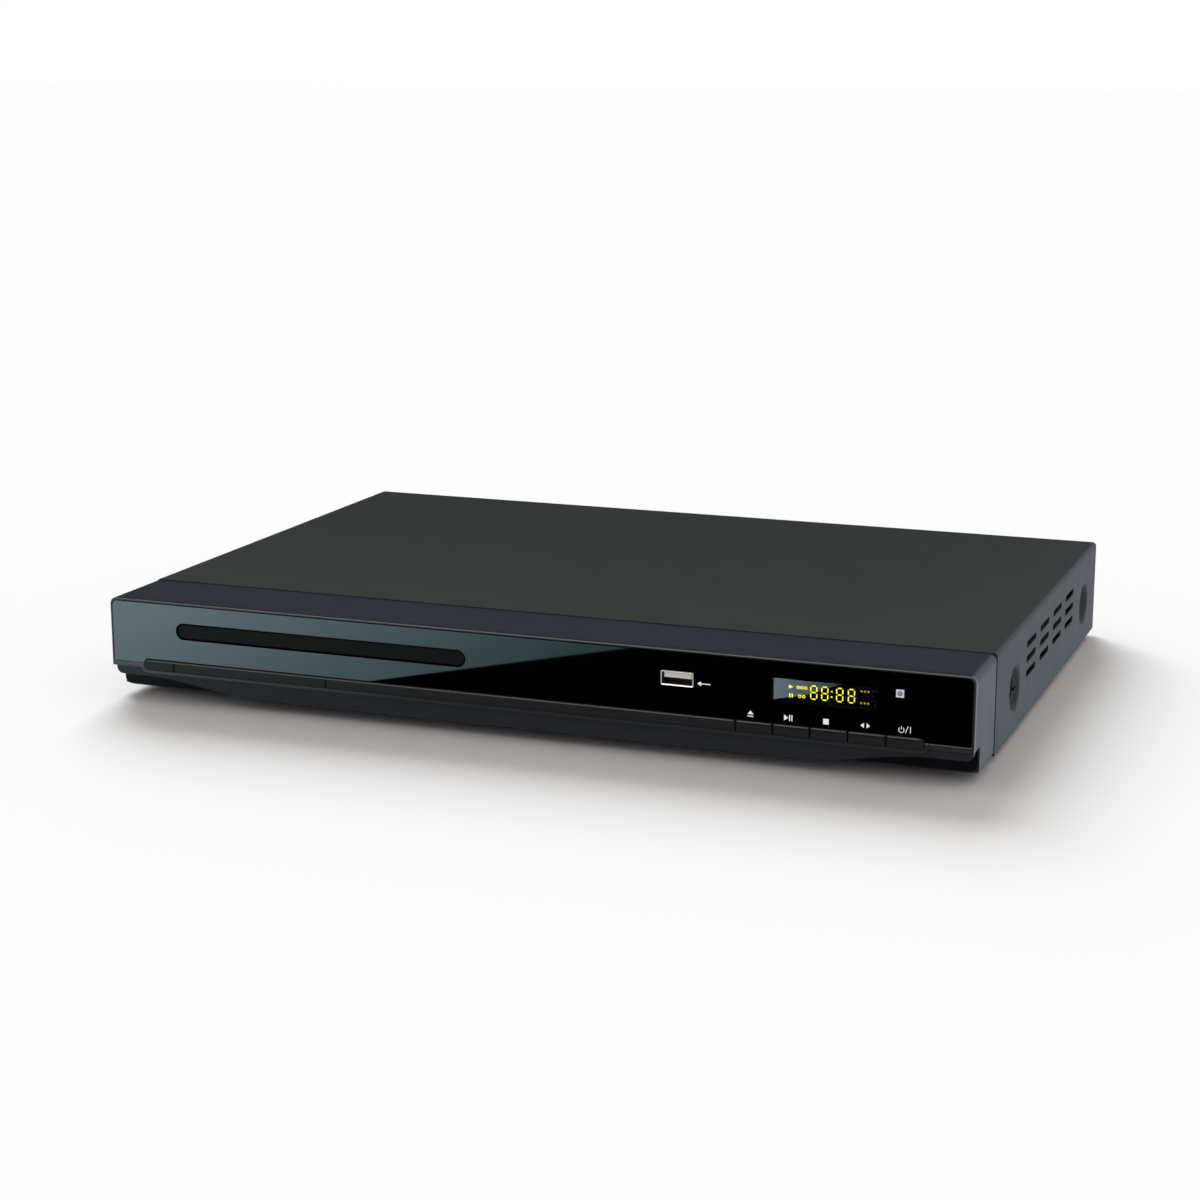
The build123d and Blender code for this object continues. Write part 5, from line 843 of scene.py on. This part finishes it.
@dataclass
class FrontPrint:
    """White marks on the acrylic over each key, beside the socket and over the receiver, with a faint painted
    glow.

    Sizes are in millimetres, and depths run down from the top of the case. A mark's points lie about its
    middle, and a bar is its left, right, low and high.
    """

    thick: float = 0.03
    row_depth: float = 22.2
    row_places: tuple[float, ...] = (95.4, 110.05, 124.5, 139.4, 154.2)
    eject_triangle: Outline = ((-1.15, -0.05), (1.15, -0.05), (0, 1.35))
    eject_bar: Box = (-1.15, 1.15, -1.01, -0.65)
    play_triangle: Outline = ((-1.65, -1.15), (0.05, 0), (-1.65, 1.15))
    pause_bars: tuple[Box, ...] = ((0.3, 0.72, -1.15, 1.15), (1.2, 1.62, -1.15, 1.15))
    stop_square: Box = (-1.05, 1.05, -1.05, 1.05)
    left_triangle: Outline = ((-1.8, 0), (-0.5, 1.0), (-0.5, -1.0))
    right_triangle: Outline = ((1.8, 0), (0.5, -1.0), (0.5, 1.0))
    power_middle: Point2 = (-1.25, -0.2)
    power_radius: float = 1.0
    power_angles: Point2 = (130.0, 410.0)
    power_steps: int = 28
    power_bar: Box = (-1.37, -1.13, 0.0, 1.25)
    slash: Outline = ((0.2, -1.3), (0.44, -1.3), (1.34, 1.3), (1.1, 1.3))
    on_bar: Box = (2.0, 2.24, -1.25, 1.25)
    stroke: float = 0.24
    arrow_x: float = 77.0
    arrow_depth: float = 12.4
    arrow_head: Outline = ((-2.6, 0), (-1.1, 0.9), (-1.1, -0.9))
    arrow_tail: Box = (-1.1, 2.6, -0.17, 0.17)
    receiver_x: float = 152.1
    receiver_depth: float = 8.8
    receiver_square: Box = (-1.5, 1.5, -1.5, 1.5)
    lens_rings: tuple[tuple[float, float, int], ...] = ((0.6, 0.95, 32), (0.0001, 0.35, 24))
    lens_half: float = 0.02

    def build(self) -> None:
        """Make every mark."""
        self.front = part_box("front_glass")[0].y
        self.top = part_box("top_cover")[1].z
        for symbol, place in zip(Symbol, self.row_places):
            self.mark(f"mark_{symbol.value}", self.outlines(symbol), place, self.row_depth, GLOWING_WHITE_INK)
        arrow = [self.arrow_head, rectangle(*self.arrow_tail)]
        self.mark("mark_socket", arrow, self.arrow_x, self.arrow_depth, GLOWING_WHITE_INK)
        self.receiver_window()

    def mark(self, name: str, outlines: Sequence[Outline], x: float, depth: float, ink: Finish) -> None:
        """Print one mark.

        Args:
            name: Its name.
            outlines: Its strokes about its middle.
            x: Where its middle lies across the acrylic.
            depth: How deep its middle lies.
            ink: Its finish.
        """
        draft = Draft()
        for outline in outlines:
            points = [((x + u) * MM, self.top + (v - depth) * MM) for u, v in outline]
            draft.prism(points, Face.FRONT, self.front - self.thick * MM, self.front)
        settle(draft.object(name), ink, "front_acrylic")

    def power_ring(self) -> list[Point2]:
        """Outline of the open ring of the power mark."""
        x, y = self.power_middle
        inner, outer = self.power_radius - self.stroke / 2, self.power_radius + self.stroke / 2
        band = arc_band(inner, outer, *self.power_angles, self.power_steps)
        return [(u + x, v + y) for u, v in band]

    def outlines(self, symbol: Symbol) -> list[Outline]:
        """Outlines of a mark about its middle.

        Args:
            symbol: Which mark.

        Returns:
            One closed outline for each stroke.
        """
        strokes = {
            Symbol.EJECT: [self.eject_triangle, rectangle(*self.eject_bar)],
            Symbol.PLAY: [self.play_triangle, *(rectangle(*bar) for bar in self.pause_bars)],
            Symbol.STOP: [rectangle(*self.stop_square)],
            Symbol.CHANNEL: [self.left_triangle, self.right_triangle],
            Symbol.POWER: [self.power_ring(), rectangle(*self.power_bar), self.slash,
                           rectangle(*self.on_bar)],
        }
        return strokes[symbol]

    def receiver_window(self) -> None:
        """Pale square over the remote receiver, with a faint painted glow, and a dark lens in it."""
        square = [rectangle(*self.receiver_square)]
        self.mark("receiver_window", square, self.receiver_x, self.receiver_depth, GLOWING_GREY_INK)
        lens = Draft()
        place = Vector((self.receiver_x * MM, self.front - self.thick * MM,
                        self.top - self.receiver_depth * MM))
        turn = Matrix.Translation(place) @ Matrix.Rotation(math.radians(90), 4, "X")
        half = self.lens_half * MM
        for inner, outer, sides in self.lens_rings:
            lens.ring(inner * MM, outer * MM, -half, half, sides, turn)
        settle(lens.object("receiver_lens"), CHIP_EPOXY, "chip_epoxy")


@dataclass
class Display:
    """Lit digits and marks behind the smoked window, in millimetres."""

    digit_places: tuple[float, ...] = (119.3, 123.5, 129.15, 133.55)
    digit_width: float = 2.3
    digit_height: float = 5.0
    digit_depth: float = 11.9
    segment: float = 0.46
    segment_gap: float = 0.26
    thick: float = 0.05
    behind: float = 0.05
    colon_x: float = 126.15
    colon_step: float = 1.0
    colon_size: float = 0.55
    mark_x: float = 110.6
    mark_depths: Point2 = (10.5, 13.85)
    play_triangle: Outline = ((-0.85, -0.7), (0.85, 0), (-0.85, 0.7))
    pause_bars: tuple[Box, ...] = ((-0.7, -0.25, -0.75, 0.75), (0.25, 0.7, -0.75, 0.75))
    rings: tuple[tuple[float, ...], ...] = ((113.3, 114.75, 116.2), (114.0, 115.5))
    ring_radius: float = 0.62
    ring_width: float = 0.28
    ring_sides: int = 28
    dots: tuple[float, ...] = (137.3, 138.6, 139.9)
    dot_depths: Point2 = (9.7, 14.15)
    dot_size: float = 0.7

    def build(self) -> None:
        """Make the digits and the marks."""
        self.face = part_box("display_window")[1].y + self.behind * MM
        self.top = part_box("top_cover")[1].z
        half_width, half_height = self.digit_width / 2, self.digit_height / 2
        across: list[Seat] = []
        tall: list[Seat] = []
        for middle in self.digit_places:
            for step in (-half_height, 0, half_height):
                across.append(self.seat(middle, self.digit_depth + step))
            for side in (-half_width, half_width):
                for step in (-half_height / 2, half_height / 2):
                    tall.append(self.seat(middle + side, self.digit_depth + step, math.pi / 2))
        self.bars("digit_bars_level", self.digit_width - 2 * self.segment_gap, across)
        self.bars("digit_bars_upright", half_height - 2 * self.segment_gap, tall)
        colon = [self.seat(self.colon_x, self.digit_depth + side * self.colon_step) for side in (-1, 1)]
        self.pips("display_colon", self.colon_size, colon, YELLOW_LIGHT)
        dots = [self.seat(x, depth) for depth in self.dot_depths for x in self.dots]
        self.pips("display_dots", self.dot_size, dots, WEAK_LIGHT)
        self.marks()

    def seat(self, x: float, depth: float, turn: float = 0.0) -> Seat:
        """Place on the display's face, turned about its normal."""
        return Seat(Vector((x * MM, self.face, self.top - depth * MM)), (0.0, turn, 0.0))

    def bars(self, name: str, length: float, seats: Sequence[Seat]) -> None:
        """Lit segments of one length."""
        copies = Repeater(name, length * MM, self.thick * MM, self.segment * MM)
        settle(copies.make(unit_bar(), seats, YELLOW_LIGHT), None, "front_acrylic")

    def pips(self, name: str, size: float, seats: Sequence[Seat], finish: Finish) -> None:
        """Lit dots of one size."""
        copies = Repeater(name, size * MM, self.thick * MM, size * MM)
        settle(copies.make(unit_block(), seats, finish), None, "front_acrylic")

    def marks(self) -> None:
        """Play and pause marks, and rings for the kinds of disc."""
        draft = Draft()
        play, pause = (self.top - depth * MM for depth in self.mark_depths)
        x = self.mark_x * MM
        half = self.thick * MM / 2
        strokes = [(play, self.play_triangle), *((pause, rectangle(*bar)) for bar in self.pause_bars)]
        for z, outline in strokes:
            points = [(x + u * MM, z + v * MM) for u, v in outline]
            draft.prism(points, Face.FRONT, self.face - half, self.face + half)
        inner, outer = (self.ring_radius - self.ring_width) * MM, self.ring_radius * MM
        for z, places in zip((play, pause), self.rings):
            for place in places:
                turn = Matrix.Translation((place * MM, self.face, z)) @ Matrix.Rotation(math.pi / 2, 4, "X")
                draft.ring(inner, outer, -half, half, self.ring_sides, turn)
        settle(draft.object("display_marks"), YELLOW_LIGHT, "front_acrylic")


@dataclass
class KeyEdges:
    """Pale strip along the top edge of each key and of the bar beside them: a painted highlight of the
    rounded edge.

    Sizes are in millimetres. The edge wraps the rounding from the start angle to the end one, in degrees.
    """

    round: float = 0.5
    thick: float = 0.03
    start: float = 15.0
    end: float = 80.0
    inset: float = 0.55
    rounded_end: float = 1.9
    steps: int = 6

    def build(self) -> None:
        """One strip on each piece of the row."""
        for symbol in Symbol:
            right = self.rounded_end if symbol is Symbol.POWER else self.inset
            self.strip(f"button_{symbol.value}", f"{symbol.value}_key", self.inset, right)
        self.strip("button_trim", "case", self.rounded_end, self.inset)

    def strip(self, node: str, body: str, left: float, right: float) -> None:
        """Thin strip round the top front edge of a piece.

        Args:
            node: The piece.
            body: Body that it moves with.
            left: How far the strip stays from the left end.
            right: How far the strip stays from the right end.
        """
        low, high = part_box(node)
        band = arc_band(self.round - self.thick, self.round + self.thick, self.start, self.end, self.steps)
        outline = [(low.y + (self.round - u) * MM, high.z - (self.round - v) * MM) for u, v in band]
        draft = Draft()
        draft.prism(outline, Face.SIDE, low.x + left * MM, high.x - right * MM)
        settle(draft.object(f"{node}_edge"), KEY_EDGE_HIGHLIGHT, "key_abs", body)


@dataclass
class DataSocket:
    """Rim painted bright as a highlight, and contacts of the flat front socket, in millimetres."""

    count: int = 4
    pitch: float = 2.3
    width: float = 1.1
    length: float = 7.5
    thick: float = 0.12
    set_back: float = 0.6
    gap: float = 0.05
    rim: float = 0.45
    corner: float = 0.3
    lip: float = 0.03
    flare: float = 0.3

    def build(self) -> None:
        """Rim of the shell painted bright as a highlight, and gold strips under the tongue."""
        self.highlight_rim()
        low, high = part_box("usb_tongue")
        shell_low, shell_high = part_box("usb_shell")
        y = low.y + (self.length / 2 + self.set_back) * MM
        z = (shell_low.z + shell_high.z) / 2 - (self.gap + self.thick / 2) * MM
        places = row((low.x + high.x) / 2, self.count, self.pitch * MM)
        strips = Repeater("socket_contacts", self.width * MM, self.length * MM, self.thick * MM)
        seats = [Seat(Vector((x, y, z))) for x in places]
        settle(strips.make(unit_block(), seats, GOLD), None, "nickel")

    def highlight_rim(self) -> None:
        """Flared lips over and under the opening of the shell, and its two ends, painted bright as a
        highlight.
        """
        low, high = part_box("usb_shell")
        wide, corner, flare = self.rim * MM, self.corner * MM, self.flare * MM
        draft = Draft()
        for foot in (low.z, high.z - wide):
            section = [(low.y, foot), (low.y, foot + wide), (low.y - flare, foot)]
            draft.prism(section, Face.SIDE, low.x + corner, high.x - corner)
        for left in (low.x, high.x - wide):
            outline = rectangle(left, left + wide, low.z + wide, high.z - wide)
            draft.prism(outline, Face.FRONT, low.y - self.lip * MM, low.y)
        settle(draft.object("socket_rim"), HIGHLIGHT_NICKEL, "nickel")


# Back and inside


class JackColour(Enum):
    """Usual colours of the round jacks, from left to right as the back is faced."""

    RED = "#a3201f"
    WHITE = "#dedcd6"
    YELLOW = "#d9b320"


@dataclass
class JackInserts:
    """Coloured insulators in the ends of the round jacks, in millimetres."""

    inner: float = 1.7
    outer: float = 3.2
    proud: float = 0.12
    sunk: float = 0.3
    sides: int = 40

    def build(self) -> None:
        """One washer in each barrel, of moulded plastic with a soft sheen."""
        for colour, corners in zip(JackColour, reversed(islands("av_jack_barrels"))):
            low, high = corners_of(corners)
            place = Vector(((low.x + high.x) / 2, high.y, (low.z + high.z) / 2))
            turn = Matrix.Translation(place) @ Matrix.Rotation(math.radians(-90), 4, "X")
            draft = Draft()
            draft.ring(self.inner * MM, self.outer * MM, -self.sunk * MM, self.proud * MM, self.sides, turn)
            label = colour.name.lower()
            finish = Finish(f"moulded_insulator_{label}", colour.value, 0.4, mottle=0.04)
            settle(draft.object(f"jack_insert_{label}"), finish, "socket_plastic")


@dataclass
class ChipLegs:
    """Tinned legs along two sides of each chip, in millimetres."""

    pitch: float = 1.27
    width: float = 0.45
    length: float = 1.6
    thick: float = 0.2

    def build(self) -> None:
        """Rows of legs on the board beside the chips."""
        seats: list[Seat] = []
        for corners in islands("main_chips"):
            low, high = corners_of(corners)
            count = int((high.x - low.x) / (self.pitch * MM)) - 1
            z = low.z + self.thick * MM / 2
            for x in row((low.x + high.x) / 2, count, self.pitch * MM):
                for y in (low.y - self.length * MM / 2, high.y + self.length * MM / 2):
                    seats.append(Seat(Vector((x, y, z))))
        legs = Repeater("chip_legs", self.width * MM, self.length * MM, self.thick * MM)
        settle(legs.make(unit_block(), seats, ZINC_SCREW), None, "nickel")


@dataclass
class FibreSheet:
    """Insulating sheet that stands on the pan beside the mains supply, black as painted shade behind the side
    vents, in millimetres.
    """

    inset: float = 3.6
    thick: float = 0.4
    front: float = 42.0
    rear: float = 40.0
    drop: float = 5.0
    corner: float = 4.0
    board_stand: float = 5.0

    def build(self) -> None:
        """One sheet with cut corners."""
        low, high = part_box("top_cover")
        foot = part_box("power_board")[0].z - self.board_stand * MM
        front, rear = low.y + self.front * MM, high.y - self.rear * MM
        top, cut = high.z - self.drop * MM, self.corner * MM
        outline = [(front, foot), (rear, foot), (rear, top - cut), (rear - cut, top), (front + cut, top),
                   (front, top - cut)]
        draft = Draft()
        draft.prism(outline, Face.SIDE, high.x - (self.inset + self.thick) * MM, high.x - self.inset * MM)
        settle(draft.object("insulating_sheet"), SHADE_FIBRE_SHEET, "circuit_board")


SCREW_GROUPS = (
    ScrewGroup("cover_screws", BLACK_SCREW, "black_screw"),
    ScrewGroup("bezel_screws", ZINC_SCREW, "zinc_steel"),
    ScrewGroup("inner_screws", ZINC_SCREW, "zinc_steel"),
)


def dress_nodes() -> None:
    """Give every CAD node that stays its finish."""
    for finish, nodes in NODE_FINISHES.items():
        for node in nodes:
            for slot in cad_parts[node].material_slots:
                slot.material = finish.material()
            LOG.info("node %s in %s", node, finish.name)


# Studio


def level_sheet(x: Point2, y: Point2, z: float) -> list[Point3]:
    """Corners of a level sheet between two places along X and two along Y."""
    return [(u, v, z) for u, v in rectangle(*x, *y)]


def upright_sheet(x: Point2, y: float, z: Point2) -> list[Point3]:
    """Corners of a sheet across the depth, between two places along X and two heights."""
    return [(u, y, v) for u, v in rectangle(*x, *z)]


@dataclass
class Studio:
    """Camera, floor, light, and cards that only reflections show.

    Lengths are in metres and angles in degrees. A place on the front is in millimetres, across it and down
    from the top of the case, and so is the crown of the display window.
    """

    camera_place: Point3 = (0.3511, -0.9609, 0.2658)
    camera_yaw: float = -20.83
    camera_pitch: float = 13.08
    camera_lens: float = 72.36
    floor_half: float = 12.0
    floor_colour: str = "#fbfaf9"
    dome: float = 0.52
    dome_colour: str = "#fffcfa"
    sun_strength: float = 3.2
    sun_colour: str = "#f8fcff"
    sun_elevation: float = 32.0
    sun_azimuth: float = 121.0
    sun_spread: float = 40.0
    card_lift: float = 0.0003
    front_flag_x: Point2 = (-0.5, 0.4)
    front_flag_reach: Point2 = (0.6, 0.03)
    back_y: float = 0.5
    back_z: Point2 = (0.0, 0.9)
    back_dark_x: Point2 = (-1.6, 0.2)
    back_pale_x: Point2 = (0.2, 1.6)
    side_colour: str = "#e0e8f6"
    side_gain: float = 1.2
    side_gap: float = 0.002
    side_end: float = 1.2
    softbox_x: Point2 = (-0.8, 0.8)
    softbox_y: Point2 = (-1.2, -0.25)
    softbox_height: float = 0.9
    softbox_gain: float = 4.5
    sheen_lift: float = 0.0006
    sheen_left: str = "#5d6a6e"
    sheen_right: str = "#2a3a3a"
    sheen_gain: float = 25.0
    sheen_span: tuple[Point2, Point2] = ((-180.0, 12.0), (20.0, 8.0))
    sheen_outline: Outline = ((-260.0, 30.0), (-74.0, 27.0), (52.0, 0.0), (-260.0, -8.0))
    wedge_left: str = "#5e6c70"
    wedge_right: str = "#2c3634"
    wedge_stand: float = 0.004
    wedge_outline: Outline = ((104.1, 15.6), (116.4, 12.8), (130.3, 7.1), (104.1, 7.4))
    window_crown: float = 0.7

    def build(self) -> None:
        """Set the stage."""
        scene = bpy.context.scene
        scene.view_settings.view_transform = "Standard"
        self.camera(scene)
        self.world(scene)
        self.sun(scene)
        self.floor()
        self.flags()
        self.reflector()
        self.wedge()

    def forward(self) -> Vector:
        """Way that the camera looks."""
        yaw, pitch = math.radians(self.camera_yaw), math.radians(self.camera_pitch)
        return Vector((math.sin(yaw) * math.cos(pitch), math.cos(yaw) * math.cos(pitch), -math.sin(pitch)))

    def camera(self, scene: bpy.types.Scene) -> None:
        """Camera at the photograph's place."""
        data = bpy.data.cameras.new("camera")
        data.lens = self.camera_lens
        data.sensor_width = 36.0
        data.clip_start = 0.01
        data.clip_end = 100.0
        camera = bpy.data.objects.new("camera", data)
        camera.location = self.camera_place
        camera.rotation_euler = self.forward().to_track_quat("-Z", "Y").to_euler()
        scene.collection.objects.link(camera)
        scene.camera = camera

    def world(self, scene: bpy.types.Scene) -> None:
        """White ground for the eye and for reflections, and a soft dome for the rest."""
        world = bpy.data.worlds.new("studio")
        scene.world = world
        world.use_nodes = True
        tree = world.node_tree
        tree.nodes.clear()
        path = add_node(tree, "ShaderNodeLightPath")
        seen = add_node(tree, "ShaderNodeMath", {"operation": "MAXIMUM"}, {
            0: path.outputs["Is Camera Ray"], 1: path.outputs["Is Glossy Ray"]})
        seen = add_node(tree, "ShaderNodeMath", {"operation": "MAXIMUM"}, {
            0: seen.outputs[0], 1: path.outputs["Is Transmission Ray"]})
        dome = add_node(tree, "ShaderNodeBackground", {
            "Color": linear(self.dome_colour), "Strength": self.dome})
        white = add_node(tree, "ShaderNodeBackground", {"Color": linear("#ffffff"), "Strength": 1.0})
        mix = add_node(tree, "ShaderNodeMixShader", links={
            0: seen.outputs[0], 1: dome.outputs[0], 2: white.outputs[0]})
        add_node(tree, "ShaderNodeOutputWorld", links={"Surface": mix.outputs[0]})

    def sun(self, scene: bpy.types.Scene) -> None:
        """Broad key light from behind on the left."""
        data = bpy.data.lights.new("key", "SUN")
        data.energy = self.sun_strength
        data.color = linear(self.sun_colour)[:3]
        data.angle = math.radians(self.sun_spread)
        key = bpy.data.objects.new("key", data)
        rise, turn = math.radians(self.sun_elevation), math.radians(self.sun_azimuth)
        towards = Vector((math.cos(turn) * math.cos(rise), math.sin(turn) * math.cos(rise), math.sin(rise)))
        key.rotation_euler = towards.to_track_quat("Z", "Y").to_euler()
        key.visible_glossy = False
        scene.collection.objects.link(key)

    def floor(self) -> None:
        """Plain white floor."""
        span = (-self.floor_half, self.floor_half)
        finish = Finish("white_studio_floor", self.floor_colour, 0.9, specular=0.0, mottle=0.0)
        self.sheet("floor", level_sheet(span, span, 0.0), finish.material())

    def sheet(self, name: str, corners: Sequence[Sequence[float]], material: bpy.types.Material,
              reflected_only: bool = False) -> None:
        """Flat sheet of the stage.

        Args:
            name: Its name.
            corners: Its corners, in order.
            material: Its material.
            reflected_only: Whether only reflections show it.
        """
        data = bpy.data.meshes.new(name)
        data.from_pydata([Vector(c) for c in corners], [], [list(range(len(corners)))])
        data.materials.append(material)
        made = bpy.data.objects.new(name, data)
        bpy.context.scene.collection.objects.link(made)
        if reflected_only:
            made.visible_camera = False
            made.visible_diffuse = False
            made.visible_shadow = False
            made.visible_transmission = False
            made.visible_volume_scatter = False

    @staticmethod
    def glow(name: str, gain: float, left: str, right: Optional[str] = None,
             span: Point2 = (0.0, 1.0)) -> bpy.types.Material:
        """Material of a sheet that gives light.

        Args:
            name: Its name.
            gain: Strength of the light.
            left: Its colour, or the colour at the start of the span.
            right: Colour at the end of the span, where it is not the same all over.
            span: Where along X the colour starts and ends.

        Returns:
            The material.
        """
        material = bpy.data.materials.new(name)
        material.use_nodes = True
        tree = material.node_tree
        tree.nodes.clear()
        light = add_node(tree, "ShaderNodeEmission", {"Color": linear(left), "Strength": gain})
        add_node(tree, "ShaderNodeOutputMaterial", links={"Surface": light.outputs[0]})
        if right:
            place = add_node(tree, "ShaderNodeTexCoord").outputs["Object"]
            split = add_node(tree, "ShaderNodeSeparateXYZ", links={0: place})
            along = add_node(tree, "ShaderNodeMapRange", {"From Min": span[0], "From Max": span[1]},
                             {"Value": split.outputs[0]})
            shade = add_node(tree, "ShaderNodeMix", {
                "data_type": "RGBA", MIX_FIRST: linear(left), MIX_SECOND: linear(right)},
                {0: along.outputs[0]})
            tree.links.new(shade.outputs[MIX_RESULT], light.inputs["Color"])
        return material

    def flags(self) -> None:
        """Black cards that keep the white ground out of the front and the top, pale ones, and a softbox."""
        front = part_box("front_glass")[0].y
        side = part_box("top_cover")[1].x + self.side_gap
        black = self.glow("black_flag", 0.0, "#000000")
        pale = self.glow("pale_side_card", self.side_gain, self.side_colour)
        white = self.glow("softbox", self.softbox_gain, "#ffffff")
        front_flag_y = tuple(front - reach for reach in self.front_flag_reach)
        cards = {
            "front_flag": (level_sheet(self.front_flag_x, front_flag_y, self.card_lift), black),
            "rear_flag": (upright_sheet(self.back_dark_x, self.back_y, self.back_z), black),
            "side_card": (level_sheet((side, self.side_end), (front, self.back_y), self.card_lift), pale),
            "rear_card": (upright_sheet(self.back_pale_x, self.back_y, self.back_z), pale),
            "softbox": (level_sheet(self.softbox_x, self.softbox_y, self.softbox_height), white),
        }
        for name, (corners, material) in cards.items():
            self.sheet(name, corners, material, True)

    def mirrored(self, x: float, depth: float) -> Point3:
        """Point of the floor that the camera sees in the acrylic.

        Args:
            x: Place across the acrylic, in millimetres.
            depth: Depth below the top of the case, in millimetres.

        Returns:
            The point, just over the floor.
        """
        glass, way = self.bounce(x, depth, 0.0)
        return tuple(glass + way * ((self.sheen_lift - glass.z) / way.z))

    def bounce(self, x: float, depth: float, turn: float) -> tuple[Vector, Vector]:
        """Where the camera's ray meets the front and which way it goes on.

        Args:
            x: Place across the front, in millimetres.
            depth: Depth below the top of the case, in millimetres.
            turn: How far the surface faces to the right there, in radians.

        Returns:
            The place, and the way of the reflected ray.
        """
        glass = Vector((x * MM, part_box("front_glass")[0].y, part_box("top_cover")[1].z - depth * MM))
        normal = Vector((math.sin(turn), -math.cos(turn), 0.0))
        return glass, (glass - Vector(self.camera_place)).reflect(normal)

    def reflector(self) -> None:
        """Pale sheet on the floor whose reflection lies across the left of the acrylic."""
        start, end = (self.mirrored(*place)[0] for place in self.sheen_span)
        material = self.glow("silver_reflector", self.sheen_gain, self.sheen_left, self.sheen_right,
                             (start, end))
        corners = [self.mirrored(*place) for place in self.sheen_outline]
        self.sheet("reflector", corners, material, True)

    def wedge(self) -> None:
        """Small card close to the crowned display window, whose reflection lies in its left."""
        low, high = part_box("display_window")
        half, middle = (high.x - low.x) / 2 / MM, (low.x + high.x) / 2 / MM
        radius = (half ** 2 + self.window_crown ** 2) / (2 * self.window_crown)
        corners = []
        for x, depth in self.wedge_outline:
            glass, way = self.bounce(x, depth, math.asin((x - middle) / radius))
            corners.append(glass - way * (self.wedge_stand / way.y))
        span = (corners[0].x, corners[2].x)
        material = self.glow("silver_wedge", self.sheen_gain, self.wedge_left, self.wedge_right, span)
        self.sheet("wedge", corners, material, True)


def main() -> None:
    """Dress the player and set the stage."""
    logging.basicConfig(level=logging.INFO, format="%(name)s: %(message)s")
    dress_nodes()
    for group in SCREW_GROUPS:
        group.dress()
    for part in (FrontPrint(), Display(), KeyEdges(), DataSocket(), JackInserts(), ChipLegs(), FibreSheet()):
        part.build()
    Studio().build()


if __name__ == "__main__":
    main()
